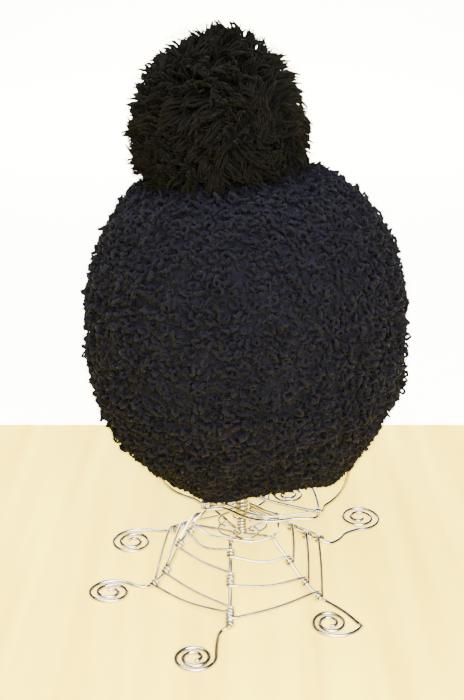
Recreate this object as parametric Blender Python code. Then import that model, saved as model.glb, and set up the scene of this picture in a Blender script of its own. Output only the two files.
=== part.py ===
"""A bobble hat of thick looped yarn on a bent-wire hat stand, in metres with +Z up.

The origin lies on the table, under the middle of the stand and of the cap. The stand's legs splay out
from a bound post and end in flat spiral feet, a spider's-web wire ties them together, and a cage of ribs
fills the cap.
"""

import math
from functools import cache
from typing import NamedTuple

import bmesh
import bpy
from mathutils import Vector

MM = 0.001

# Driving dimensions
TOUCH_GAP = 0.3 * MM
CAP_WALL = 7.0 * MM
RIM_WALL = 4.0 * MM
RIM_TAPER_SHARE = 0.15
CAP_SEGMENTS = 48
CAP_OUTER_ROWS = 15
CAP_INNER_ROWS = 11
LEG_WIRE = 2.6 * MM
WEB_WIRE = 1.8 * MM
RIB_WIRE = 2.2 * MM
WIRE_SIDES = 6
LEG_SIDES = 6
POST_SIDES = 10
POST_FOOT = 30 * MM
POST_WAIST = 47.5 * MM
POST_TOP = 74 * MM
POST_LOWER_RADIUS = 4.2 * MM
POST_UPPER_RADIUS = 6.0 * MM
POMPOM_CENTRE = Vector((-16 * MM, 0, 325 * MM))
POMPOM_HALF_WIDTH = 57.5 * MM
POMPOM_RISE = 76 * MM
POMPOM_DROP = 34 * MM
POMPOM_FULLNESS = 2.2
SEAT_GAP = 0.5 * MM
SEAT_FIRST_ROW = 7


class Section(NamedTuple):
    """A level of the cap's side. The cap leans, so each has its own centre, and is flatter low down."""

    radius: float
    height: float
    centre_x: float
    depth_share: float


class Fold(NamedTuple):
    """A soft bulge, with a positive depth, or a dent in the cap's side."""

    azimuth: float
    height: float
    azimuth_spread: float
    height_spread: float
    depth: float


class RimLift(NamedTuple):
    """Where the rim is raised, or lowered with a negative lift."""

    azimuth: float
    azimuth_spread: float
    lift: float


class Leg(NamedTuple):
    """A leg: its top by the hub, its slope, its bends on the table, and the flat spiral that it ends in."""

    top_azimuth: float
    top_radius: float
    top_height: float
    foot_azimuth: float
    upper_rise: float
    lower_rise: float
    bends: tuple
    x: float
    y: float
    start_angle: float
    start_radius: float
    radius: float
    squash: float
    turn: int


class Rib(NamedTuple):
    """A rib of the cage: its azimuth, and its knot on the neck ring if it has one."""

    azimuth: float
    knot: tuple | None


CAP_SECTIONS = (
    Section(radius=68.5, height=98, centre_x=6, depth_share=0.92),
    Section(radius=75.5, height=109, centre_x=4, depth_share=0.92),
    Section(radius=84, height=121, centre_x=1.8, depth_share=0.93),
    Section(radius=95.5, height=136, centre_x=0, depth_share=0.94),
    Section(radius=103, height=154, centre_x=1, depth_share=0.96),
    Section(radius=109, height=176, centre_x=3, depth_share=0.98),
    Section(radius=109, height=200, centre_x=2, depth_share=1.0),
    Section(radius=108, height=227, centre_x=2.4, depth_share=1.0),
    Section(radius=102.5, height=255, centre_x=2.1, depth_share=1.0),
    Section(radius=89.5, height=282, centre_x=2, depth_share=1.0),
    Section(radius=70.5, height=303, centre_x=0, depth_share=1.0),
    Section(radius=45, height=315.5, centre_x=-2.2, depth_share=1.0),
    Section(radius=0, height=319, centre_x=-4.5, depth_share=1.0),
)

CAP_FOLDS = (
    Fold(azimuth=4, height=113, azimuth_spread=23, height_spread=22, depth=11.5),
    Fold(azimuth=-14, height=166, azimuth_spread=20, height_spread=14, depth=2),
    Fold(azimuth=211, height=242, azimuth_spread=6, height_spread=38, depth=-3.5),
    Fold(azimuth=196, height=235, azimuth_spread=9, height_spread=36, depth=1.5),
    Fold(azimuth=80, height=170, azimuth_spread=24, height_spread=26, depth=3),
    Fold(azimuth=118, height=150, azimuth_spread=10, height_spread=34, depth=-3),
)

# The rim is cut off a little higher at the front than at the back, and rises and falls in soft waves
RIM_HEIGHT = 103 * MM
RIM_TILT = 3.3 * MM
RIM_LIFTS = (
    RimLift(azimuth=3, azimuth_spread=27, lift=9),
    RimLift(azimuth=95, azimuth_spread=26, lift=-3),
    RimLift(azimuth=140, azimuth_spread=22, lift=3),
    RimLift(azimuth=205, azimuth_spread=22, lift=4.3),
    RimLift(azimuth=243, azimuth_spread=24, lift=-7),
    RimLift(azimuth=290, azimuth_spread=24, lift=10.5),
    RimLift(azimuth=330, azimuth_spread=22, lift=-7.3),
)
GATHERS = 9
GATHER_DEPTH = 1.0 * MM
GATHER_SHARE = 0.25

LEG_FOOT_RADIUS = 71.5
LEG_FOOT_HEIGHT = 4.2
LEGS = (
    Leg(
        top_azimuth=-113, top_radius=21, top_height=38.5, foot_azimuth=-97, upper_rise=-0.5, lower_rise=-2.5,
        bends=((-15.5, -76.0), (-17.5, -86.0)),
        x=-33.0, y=-100.5, start_angle=0, start_radius=15.0, radius=14.3, squash=0.86, turn=-1,
    ),
    Leg(
        top_azimuth=-34, top_radius=27.5, top_height=38.5, foot_azimuth=-36, upper_rise=-1, lower_rise=-3,
        bends=((62.0, -42.0), (75.0, -54.5)),
        x=63.0, y=-66.0, start_angle=-9, start_radius=22.5, radius=13.6, squash=0.96, turn=-1,
    ),
    Leg(
        top_azimuth=20, top_radius=28, top_height=39, foot_azimuth=25, upper_rise=-1, lower_rise=-2.5,
        bends=((72.0, 28.7), (80.0, 33.5), (86.5, 42.0)),
        x=100.5, y=65.0, start_angle=-100, start_radius=18.8, radius=17.2, squash=0.93, turn=1,
    ),
    Leg(
        top_azimuth=80, top_radius=26, top_height=39, foot_azimuth=83, upper_rise=-1, lower_rise=-2.5,
        bends=((10.5, 77.5), (17.5, 84.5)),
        x=41.0, y=99.5, start_angle=-160, start_radius=17.5, radius=15.0, squash=0.9, turn=-1,
    ),
    Leg(
        top_azimuth=140, top_radius=29, top_height=41, foot_azimuth=143, upper_rise=0, lower_rise=-2.5,
        bends=((-66.0, 45.5), (-74.5, 47.0)),
        x=-88.0, y=31.0, start_angle=76, start_radius=17.2, radius=16.4, squash=0.92, turn=1,
    ),
    Leg(
        top_azimuth=197, top_radius=36, top_height=46, foot_azimuth=202, upper_rise=3.5, lower_rise=-3.5,
        bends=((-71.0, -25.3), (-77.5, -25.5)),
        x=-98.5, y=-31.9, start_angle=52, start_radius=18.3, radius=16.6, squash=0.76, turn=1,
    ),
)
SPIRAL_TURNS = 2.2
SPIRAL_EYE_RADIUS = 3.4
SPIRAL_EASE = 1.2
SPIRAL_POINTS_PER_TURN = 10

LEG_START_HEIGHT = 33.0
LEG_SLOPE_STEPS = 6
HUB_RING_BOW = 2.6
HUB_RING_SAG = 2.2

# Where the web crosses each leg, as a share of the way from the leg's corner to its foot, turn by turn
WEB_START_SHARES = (0.16, 0.49, 0.90)
WEB_SHARES = (0.36, 0.68, 0.96)
WEB_CLOSING_SHARES = (0.43, 0.83, 0.97)
WEB_FIRST_SHARE = 0.10
WEB_FIRST_SAG = 6.0
WEB_FRONT_SAGS = (4.2, 3.0, 2.0)
WEB_CLOSING_SAGS = (1.8, 1.8, 3.2)
WEB_SAG = 1.2
WRAP_POINTS = 7

NECK_RING_DROP = 2.6
NECK_FRONT = ((-12.5, -6.0, 58.5), (3.0, -16.5, 58.0), (20.0, -21.0, 57.5), (38.0, -17.0, 57.0))
NECK_BACK = ((15.0, 46.0, 59.5),)
RIBS = (
    Rib(azimuth=-7.5, knot=(57.5, -11.0, 59.5)),
    Rib(azimuth=52.5, knot=(50.0, 38.0, 61.0)),
    Rib(azimuth=127.5, knot=(-20.0, 40.0, 61.5)),
    Rib(azimuth=187.5, knot=(-28.7, -3.5, 61.5)),
    Rib(azimuth=240, knot=None),
    Rib(azimuth=300, knot=None),
)
RIB_START_HEIGHT = 68.0

# A rib's bend between its knot and the cap's rim, as shares of the way out and of the way up
RIB_SWELL = ((0.22, 0.10), (0.48, 0.19), (0.72, 0.31), (0.91, 0.50), (1.01, 0.74))

# Where a rib with no knot passes on its way up from the post, as radii and heights
RIB_RISE_CENTRE_X = 4.0
RIB_RISE = ((18.0, 78.0), (37.0, 93.0), (54.0, 110.0))
RIB_FIRST_ROW = 2
RIB_CLEARANCE = 0.6 * MM
BOSS_RADIUS = 7.0 * MM
BOSS_HEIGHT = 3.0 * MM

LOCK_REACH = 9.0
LOCK_BASE_SHARE = 0.78
LOCK_SHOULDER = 0.45


def clear_scene():
    """Removes every object that the scene starts with."""
    for obj in list(bpy.data.objects):
        bpy.data.objects.remove(obj)


def make_material(name, colour, roughness, metallic):
    """A Principled material of one finish."""
    material = bpy.data.materials.new(name)
    material.use_nodes = True
    shader = material.node_tree.nodes["Principled BSDF"]
    shader.inputs["Base Color"].default_value = (*colour, 1.0)
    shader.inputs["Roughness"].default_value = roughness
    shader.inputs["Metallic"].default_value = metallic
    return material


def add_object(name, bm, material):
    """Turns a bmesh into a smooth-shaded object of the scene."""
    bmesh.ops.recalc_face_normals(bm, faces=bm.faces)
    mesh = bpy.data.meshes.new(name)
    bm.to_mesh(mesh)
    bm.free()
    mesh.shade_smooth()
    mesh.set_sharp_from_angle(angle=math.radians(50))
    mesh.materials.append(material)
    obj = bpy.data.objects.new(name, mesh)
    bpy.context.scene.collection.objects.link(obj)
    return obj


def around(azimuth, radius, height, centre_x=0.0):
    """A point at an azimuth in degrees, a radius and a height."""
    angle = math.radians(azimuth)
    return Vector((centre_x + radius * math.cos(angle), radius * math.sin(angle), height))


def spline_point(points, position, closed=False):
    """The point of a Catmull-Rom spline at a position counted in points."""
    count = len(points)
    index = min(int(position), count - 1 if closed else count - 2)
    share = position - index
    if closed:
        before, first, second, after = (points[(index + k) % count] for k in (-1, 0, 1, 2))
    else:
        first, second = points[index], points[index + 1]
        before = points[index - 1] if index > 0 else first * 2 - second
        after = points[index + 2] if index + 2 < count else second * 2 - first
    return 0.5 * (
        first * 2
        + (second - before) * share
        + (before * 2 - first * 5 + second * 4 - after) * share**2
        + (first * 3 - before - second * 3 + after) * share**3
    )


def smooth_path(points, steps, closed=False):
    """A spline through the points, with this many steps between two of them."""
    spans = len(points) if closed else len(points) - 1
    path = [spline_point(points, k / steps, closed) for k in range(spans * steps)]
    return path if closed else path + [points[-1]]


def bridge(bm, first, second):
    """Joins two rings of vertices with quads."""
    count = len(first)
    for k in range(count):
        bm.faces.new((first[k], first[(k + 1) % count], second[(k + 1) % count], second[k]))


def tube_bmesh(path, radius, sides, closed=False, upright=False):
    """A round wire along a path. An upright one keeps a flat side down, any other turns as little as it can."""
    bm = bmesh.new()
    count = len(path)
    rings = []
    up = Vector((0, 0, 1))
    for k, point in enumerate(path):
        ahead = path[(k + 1) % count] if closed or k + 1 < count else point
        behind = path[k - 1] if closed or k > 0 else point
        along = (ahead - behind).normalized()
        if k == 0 and abs(along.z) > 0.95:
            up = Vector((1, 0, 0))
        side = along.cross(up).normalized()
        up_here = side.cross(along).normalized()
        if not (closed or upright):
            up = up_here
        ring = []
        for n in range(sides):
            angle = math.tau * (n + 0.5) / sides - math.pi / 2
            ring.append(bm.verts.new(point + radius * (math.cos(angle) * side + math.sin(angle) * up_here)))
        rings.append(ring)
    for k in range(count if closed else count - 1):
        bridge(bm, rings[k], rings[(k + 1) % count])
    if not closed:
        bm.faces.new(rings[0])
        bm.faces.new(rings[-1])
    return bm


def bump(offset, spread):
    """A soft bump of height 1, which is nearly 0 past twice its spread."""
    return math.exp(-((offset / spread) ** 2))


def turn_between(azimuth, other):
    """The angle from one azimuth to another, from -180 to 180 degrees."""
    return (azimuth - other + 180) % 360 - 180


@cache
def cut_share(azimuth):
    """The share of the whole profile at which the rim cuts it off, at an azimuth in degrees."""
    rim = RIM_HEIGHT - RIM_TILT * math.sin(math.radians(azimuth))
    for row in RIM_LIFTS:
        rim += row.lift * MM * bump(turn_between(azimuth, row.azimuth), row.azimuth_spread)
    share = 0.0
    while profile_at(share)[1] < rim:
        share += 0.002
    return share


@cache
def profile_at(share):
    """The cap's radius, height, centre and depth share, at a share of its whole profile."""
    rows = []
    for row in CAP_SECTIONS:
        rows.append(Vector((row.radius * MM, row.height * MM, row.centre_x * MM, row.depth_share)))
    return tuple(spline_point(rows, min(max(share, 0.0), 1.0) * (len(rows) - 1)))


def cap_point(azimuth, share, inset=0.0):
    """A point of the cap's outer side, or inset deep under it. Share is 0 at the rim and 1 at the crown."""
    cut = cut_share(azimuth)
    whole = cut + (1 - cut) * share
    radius, height, centre_x, depth_share = profile_at(whole)
    step = 0.001
    before = profile_at(whole - step)
    after = profile_at(whole + step)
    slope = Vector((after[0] - before[0], after[1] - before[1])).normalized()
    swell = sum(
        fold.depth * MM
        * bump(turn_between(azimuth, fold.azimuth), fold.azimuth_spread)
        * bump(height / MM - fold.height, fold.height_spread)
        for fold in CAP_FOLDS
    )
    swell += GATHER_DEPTH * max(0.0, 1 - share / GATHER_SHARE) * math.sin(math.radians(azimuth * GATHERS))
    depth = swell - inset
    radius = max(radius + depth * slope.y, 0.0)
    point = around(azimuth, radius, height - depth * slope.x, centre_x)
    point.y *= depth_share
    return point


def crown_centre():
    """The middle of the crown in plan."""
    return Vector((CAP_SECTIONS[-1].centre_x * MM, 0.0))


def wall_at(share):
    """The wall's thickness, which tapers a little towards the rim."""
    taper = max(0.0, 1 - share / RIM_TAPER_SHARE)
    return CAP_WALL + (RIM_WALL - CAP_WALL) * taper


def cap_ring(bm, share, inset, segments):
    """One level ring of the cap's vertices."""
    return [bm.verts.new(cap_point(360 * k / segments, share, inset)) for k in range(segments)]


def cap_shell(bm, rows, inset_at, segments, first_row=0):
    """A domed side of the cap up to its crown, as rings and one top point. Returns the lowest ring."""
    rings = [cap_ring(bm, row / rows, inset_at(row / rows), segments) for row in range(first_row, rows)]
    for first, second in zip(rings, rings[1:]):
        bridge(bm, first, second)
    top = bm.verts.new(cap_point(0, 1.0, inset_at(1.0)))
    top.co.xy = crown_centre()
    last = rings[-1]
    for k in range(segments):
        bm.faces.new((last[k], last[(k + 1) % segments], top))
    return rings[0]


def build_cap(material):
    """The cap: a knitted wall that narrows to a rounded rim, open below."""
    bm = bmesh.new()
    outer = cap_shell(bm, CAP_OUTER_ROWS, lambda share: 0.0, CAP_SEGMENTS)
    inner = cap_shell(bm, CAP_INNER_ROWS, wall_at, CAP_SEGMENTS)
    edge = cap_ring(bm, 0.0, RIM_WALL / 2, CAP_SEGMENTS)
    for vertex in edge:
        vertex.co.z -= RIM_WALL * 0.42
    bridge(bm, outer, edge)
    bridge(bm, edge, inner)
    return add_object("cap_body", bm, material)


def lock_lean(index):
    """How a lock of yarn leans, from its place in the count: two numbers from -1 to 1."""
    golden = 2.399963
    return math.sin(index * golden * 1.7), math.cos(index * golden * 2.9)


def pompom_radius(direction):
    """How far the locks' tips lie from the pompom's centre in a direction. It is taller above than below."""
    level = math.hypot(direction.x, direction.y) / POMPOM_HALF_WIDTH
    upright = abs(direction.z) / (POMPOM_RISE if direction.z > 0 else POMPOM_DROP)
    return (level**POMPOM_FULLNESS + upright**POMPOM_FULLNESS) ** (-1 / POMPOM_FULLNESS)


def build_pompom(material):
    """The pompom: a dome of pointed locks, one drawn out of each face, hollowed where it sits on the crown."""
    bm = bmesh.new()
    bmesh.ops.create_icosphere(bm, subdivisions=3, radius=1)
    for vertex in bm.verts:
        vertex.co *= pompom_radius(vertex.co.normalized()) - LOCK_REACH * MM
    bm.normal_update()
    for index, face in enumerate(list(bm.faces)):
        outward = face.normal.lerp(face.calc_center_median().normalized(), 0.5).normalized()
        across = outward.orthogonal().normalized()
        lean_a, lean_b = lock_lean(index)
        reach = LOCK_REACH * MM * (1.0 + 0.55 * lean_a)
        lean = (across * lean_b + outward.cross(across) * lean_a) * reach * 0.45
        shoulder = bmesh.ops.extrude_discrete_faces(bm, faces=[face])["faces"][0]
        middle = shoulder.calc_center_median()
        for vertex in shoulder.verts:
            vertex.co = middle + (vertex.co - middle) * LOCK_BASE_SHARE + outward * reach * LOCK_SHOULDER
        tip = bmesh.ops.poke(bm, faces=[shoulder])["verts"][0]
        tip.co = middle + outward * reach + lean
    bmesh.ops.translate(bm, verts=bm.verts, vec=POMPOM_CENTRE)
    pompom = add_object("pompom", bm, material)

    seat = bmesh.new()
    lowest = cap_shell(seat, CAP_OUTER_ROWS, lambda share: -SEAT_GAP, CAP_SEGMENTS, first_row=SEAT_FIRST_ROW)
    seat.faces.new(lowest)
    cutter = add_object("pompom_seat", seat, material)
    cutter.hide_render = True
    cutter.display_type = "WIRE"
    cut = pompom.modifiers.new("crown", "BOOLEAN")
    cut.operation = "DIFFERENCE"
    cut.object = cutter
    return pompom


def build_post(material):
    """The post: a bundle of wires bound by two close coils, shown as ridges one wire apart."""
    bm = bmesh.new()
    profile = [Vector((0, 0, POST_FOOT))]
    height = POST_FOOT
    pitch = LEG_WIRE
    while height < POST_TOP - pitch:
        radius = POST_LOWER_RADIUS if height < POST_WAIST else POST_UPPER_RADIUS
        profile.append(Vector((radius - 0.22 * pitch, 0, height)))
        profile.append(Vector((radius, 0, height + pitch / 2)))
        height += pitch
    profile.append(Vector((POST_UPPER_RADIUS - 0.22 * pitch, 0, height)))
    profile.append(Vector((0, 0, height)))
    vertices = [bm.verts.new(point) for point in profile]
    edges = [bm.edges.new(pair) for pair in zip(vertices, vertices[1:])]
    bmesh.ops.spin(
        bm, geom=edges, cent=(0, 0, 0), axis=(0, 0, 1), angle=math.tau, steps=POST_SIDES,
        use_merge=True, use_duplicate=False,
    )
    bmesh.ops.remove_doubles(bm, verts=bm.verts, dist=0.01 * MM)
    return add_object("post", bm, material)


def spiral_point(leg, share):
    """A point of a leg's spiral, in millimetres. Share is 0 where the leg runs in, and 1 at the eye."""
    turned = 360 * SPIRAL_TURNS * share
    settling = max(0.0, 1 - turned / 100)
    radius = leg.radius - (leg.radius - SPIRAL_EYE_RADIUS) * share**SPIRAL_EASE
    radius += (leg.start_radius - leg.radius) * settling**2
    height = LEG_WIRE / MM / 2 * math.cos(math.pi / LEG_SIDES)
    spot = around(leg.start_angle + leg.turn * turned, radius, height)
    return Vector((leg.x + spot.x, leg.y + spot.y * leg.squash, spot.z))


def leg_point(leg, share):
    """A point of a leg's slope in millimetres. Share is 0 at its top by the hub and 1 at its lower bend."""
    top = around(leg.top_azimuth, leg.top_radius, leg.top_height)
    foot = around(leg.foot_azimuth, LEG_FOOT_RADIUS, LEG_FOOT_HEIGHT)
    rises = (0, leg.upper_rise, leg.lower_rise, 0)
    points = [top.lerp(foot, k / 3) + Vector((0, 0, rise)) for k, rise in enumerate(rises)]
    return spline_point(points, min(max(share, 0.0), 1.0) * 3)


def leg_path(leg):
    """A leg's whole line in millimetres: out of the post, down the slope and into the spiral."""
    start = around(leg.top_azimuth, (POST_LOWER_RADIUS + TOUCH_GAP) / MM, LEG_START_HEIGHT)
    top = leg_point(leg, 0)
    run = [start, start.lerp(top, 0.5) + Vector((0, 0, 0.6))]
    run += [leg_point(leg, k / LEG_SLOPE_STEPS) for k in range(LEG_SLOPE_STEPS + 1)]
    count = round(SPIRAL_TURNS * SPIRAL_POINTS_PER_TURN)
    coil = [spiral_point(leg, k / count) for k in range(count + 1)]
    run += [Vector((x, y, coil[0].z)) for x, y in leg.bends]
    return run + coil


def build_legs(material):
    """Six legs of one wire each, with a flat spiral foot on the table."""
    for number, leg in enumerate(LEGS, start=1):
        path = [point * MM for point in leg_path(leg)]
        add_object(f"leg_{number}", tube_bmesh(path, LEG_WIRE / 2, LEG_SIDES, upright=True), material)


def leg_axes(leg, share):
    """The directions along a leg's slope, level across it, and out of it, at a share of the slope."""
    along = (leg_point(leg, share + 0.02) - leg_point(leg, share - 0.02)).normalized()
    across = Vector((0, 0, 1)).cross(along).normalized()
    return along, across, along.cross(across)


def wrap_points(leg, share, lift):
    """One turn of the web wire round a leg, in millimetres, entering and leaving over the leg's outer side."""
    here = leg_point(leg, share)
    along, across, outward = leg_axes(leg, share)
    pitch = WEB_WIRE / MM * 1.15
    points = []
    for k in range(WRAP_POINTS + 1):
        turned = k / WRAP_POINTS
        angle = math.pi / 2 - math.tau * turned
        offset = lift * (math.cos(angle) * across + math.sin(angle) * outward)
        points.append(here + offset + along * pitch * (turned - 0.5))
    return points


def web_path(turn):
    """One turn of the web in millimetres, from the front leg round to it again and further down it."""
    lift = ((LEG_WIRE + WEB_WIRE) / MM / 2 + TOUCH_GAP / MM) / math.cos(math.pi / WRAP_POINTS)
    stops = [(LEGS[0], WEB_START_SHARES[turn])] + [(leg, WEB_SHARES[turn]) for leg in LEGS[1:]]
    stops.append((LEGS[0], WEB_CLOSING_SHARES[turn]))
    sags = [WEB_FRONT_SAGS[turn]] + [WEB_SAG] * (len(LEGS) - 2) + [WEB_CLOSING_SAGS[turn]]
    if turn == 0:
        stops.insert(0, (LEGS[-1], WEB_FIRST_SHARE))
        sags.insert(0, WEB_FIRST_SAG)
    knots = [wrap_points(leg, share, lift) for leg, share in stops]
    path = []
    for knot, following, sag in zip(knots, knots[1:], sags):
        middle = knot[-1].lerp(following[0], 0.5)
        outward = Vector((middle.x, middle.y, 0)).normalized()
        path += knot + [middle + (outward - Vector((0, 0, 1))) * sag * math.sqrt(0.5)]
    return path + [knots[-1][0]]


def build_web(material):
    """The web between the legs: one wire in three turns, looped once round every leg that it meets."""
    for turn in range(len(WEB_SHARES)):
        path = [point * MM for point in web_path(turn)]
        add_object(f"web_turn_{turn + 1}", tube_bmesh(path, WEB_WIRE / 2, WIRE_SIDES), material)


def build_hub_ring(material):
    """The ring over the legs' tops, which sags outwards between them."""
    lift = (LEG_WIRE + WEB_WIRE) / MM / 2 + TOUCH_GAP / MM
    crossings = []
    for leg in LEGS:
        _, _, outward = leg_axes(leg, 0.02)
        crossings.append(leg_point(leg, 0.0) + Vector((0, 0, 1)).lerp(outward, 0.5).normalized() * lift)
    points = []
    for first, second in zip(crossings, crossings[1:] + crossings[:1]):
        middle = first.lerp(second, 0.5)
        outward = Vector((middle.x, middle.y, 0)).normalized()
        points += [first, middle + outward * HUB_RING_BOW - Vector((0, 0, HUB_RING_SAG))]
    path = [point * MM for point in smooth_path(points, 2, closed=True)]
    add_object("hub_ring", tube_bmesh(path, WEB_WIRE / 2, WIRE_SIDES, closed=True), material)


def neck_points():
    """The neck ring's line in millimetres: under each rib's knot, with a bowed chord across the front."""
    drop = Vector((0, 0, -NECK_RING_DROP))
    right, back_right, back_left, left = (Vector(rib.knot) + drop for rib in RIBS if rib.knot)
    front = [Vector(point) for point in NECK_FRONT]
    back = [Vector(point) for point in NECK_BACK]
    return [left, *front, right, back_right, *back, back_left]


def build_neck_ring(material):
    """The ring that the ribs are bound to below the cap."""
    path = [point * MM for point in smooth_path(neck_points(), 2, closed=True)]
    add_object("neck_ring", tube_bmesh(path, RIB_WIRE / 2, WIRE_SIDES, closed=True), material)


def rib_path(rib):
    """A rib's line in millimetres: out of the post, over its knot, and up inside the cap to the boss."""
    start = around(rib.azimuth, (POST_UPPER_RADIUS + TOUCH_GAP) / MM, RIB_START_HEIGHT)
    first_row = 0 if rib.knot else RIB_FIRST_ROW
    highest = boss_share(rib.azimuth)
    shares = [row / CAP_INNER_ROWS for row in range(first_row, CAP_INNER_ROWS)]
    shares = [share for share in shares if share < highest - 0.02] + [highest]
    wall = [cap_point(rib.azimuth, share, rib_depth(share)) / MM for share in shares]
    if rib.knot:
        knot = Vector(rib.knot)
        way = wall[0] - knot
        lower = [start, start.lerp(knot, 0.45) - Vector((0, 0, 1.5)), knot]
        lower += [knot + Vector((way.x * out, way.y * out, way.z * rise)) for out, rise in RIB_SWELL]
    else:
        lower = [start]
        lower += [around(rib.azimuth, radius, height, RIB_RISE_CENTRE_X) for radius, height in RIB_RISE]
    return lower + wall


def rib_depth(share):
    """How deep a rib's centre line lies under the cap's outer side."""
    return wall_at(share) + RIB_CLEARANCE + RIB_WIRE / 2


def boss_share(azimuth):
    """The share of the cap's side at which a rib meets the boss under the crown."""
    share = 1.0
    while (cap_point(azimuth, share, rib_depth(share)).xy - crown_centre()).length < BOSS_RADIUS + TOUCH_GAP:
        share -= 0.001
    return share


def build_ribs(material):
    """The cage's ribs, one bent wire each."""
    for number, rib in enumerate(RIBS, start=1):
        path = [point * MM for point in rib_path(rib)]
        add_object(f"rib_{number}", tube_bmesh(path, RIB_WIRE / 2, WIRE_SIDES), material)


def build_boss(material):
    """The disc under the crown that the ribs' upper ends meet."""
    top = cap_point(0, boss_share(0), rib_depth(boss_share(0)))
    bm = bmesh.new()
    bmesh.ops.create_cone(
        bm, cap_ends=True, segments=12, radius1=BOSS_RADIUS, radius2=BOSS_RADIUS, depth=BOSS_HEIGHT
    )
    bmesh.ops.translate(bm, verts=bm.verts, vec=(*crown_centre(), top.z))
    add_object("crown_boss", bm, material)


def main():
    """Builds the cap, its pompom and the stand."""
    clear_scene()
    knit = make_material("knit", (0.014, 0.014, 0.019), 0.9, 0.0)
    yarn = make_material("pompom_yarn", (0.009, 0.008, 0.007), 0.85, 0.0)
    wire = make_material("wire", (0.78, 0.77, 0.74), 0.25, 1.0)
    build_cap(knit)
    build_pompom(yarn)
    build_post(wire)
    build_legs(wire)
    build_web(wire)
    build_hub_ring(wire)
    build_neck_ring(wire)
    build_ribs(wire)
    build_boss(wire)


main()
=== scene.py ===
"""Dresses a knitted bobble hat and the bent-wire stand that holds it, in metres with +Z up.

The cap gets a thick wall of looped yarn with curls and fuzz on it, the pompom gets cut locks of yarn, and
the stand gets round drawn wires with real wraps and coils. Every place comes from the frame or from the
stand's own sizes, which are in millimetres, so nothing is moved or scaled.
"""

import logging
import math
from dataclasses import dataclass, field, replace
from enum import Enum
from functools import cache

import bpy
import numpy as np
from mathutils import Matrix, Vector
from mathutils.bvhtree import BVHTree


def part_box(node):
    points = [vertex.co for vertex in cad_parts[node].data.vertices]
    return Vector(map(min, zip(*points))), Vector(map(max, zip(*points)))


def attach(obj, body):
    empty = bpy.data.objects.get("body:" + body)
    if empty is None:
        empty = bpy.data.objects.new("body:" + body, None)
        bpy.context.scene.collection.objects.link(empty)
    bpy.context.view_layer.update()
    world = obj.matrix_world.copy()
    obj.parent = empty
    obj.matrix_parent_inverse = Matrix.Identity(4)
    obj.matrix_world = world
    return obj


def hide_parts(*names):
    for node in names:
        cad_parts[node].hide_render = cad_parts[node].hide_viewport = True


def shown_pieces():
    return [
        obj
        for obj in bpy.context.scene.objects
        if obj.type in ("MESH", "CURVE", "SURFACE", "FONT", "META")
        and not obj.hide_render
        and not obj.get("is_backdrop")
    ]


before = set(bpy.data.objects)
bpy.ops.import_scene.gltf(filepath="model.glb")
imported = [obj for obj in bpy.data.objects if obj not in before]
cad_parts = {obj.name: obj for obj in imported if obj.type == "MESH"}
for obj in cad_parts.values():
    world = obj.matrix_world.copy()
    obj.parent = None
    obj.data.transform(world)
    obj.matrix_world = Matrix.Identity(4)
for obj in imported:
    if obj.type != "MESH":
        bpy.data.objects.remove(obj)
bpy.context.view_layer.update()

LOG = logging.getLogger("bobble_hat")
MM = 0.001
ROOT = "root"
SEED = 20
TINY = 1e-12
UP = Vector((0, 0, 1))
GOLDEN_ANGLE = 2.399963


class Side(Enum):
    """A side of the cap's wall."""

    OUTSIDE = "outside"
    INSIDE = "inside"


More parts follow.
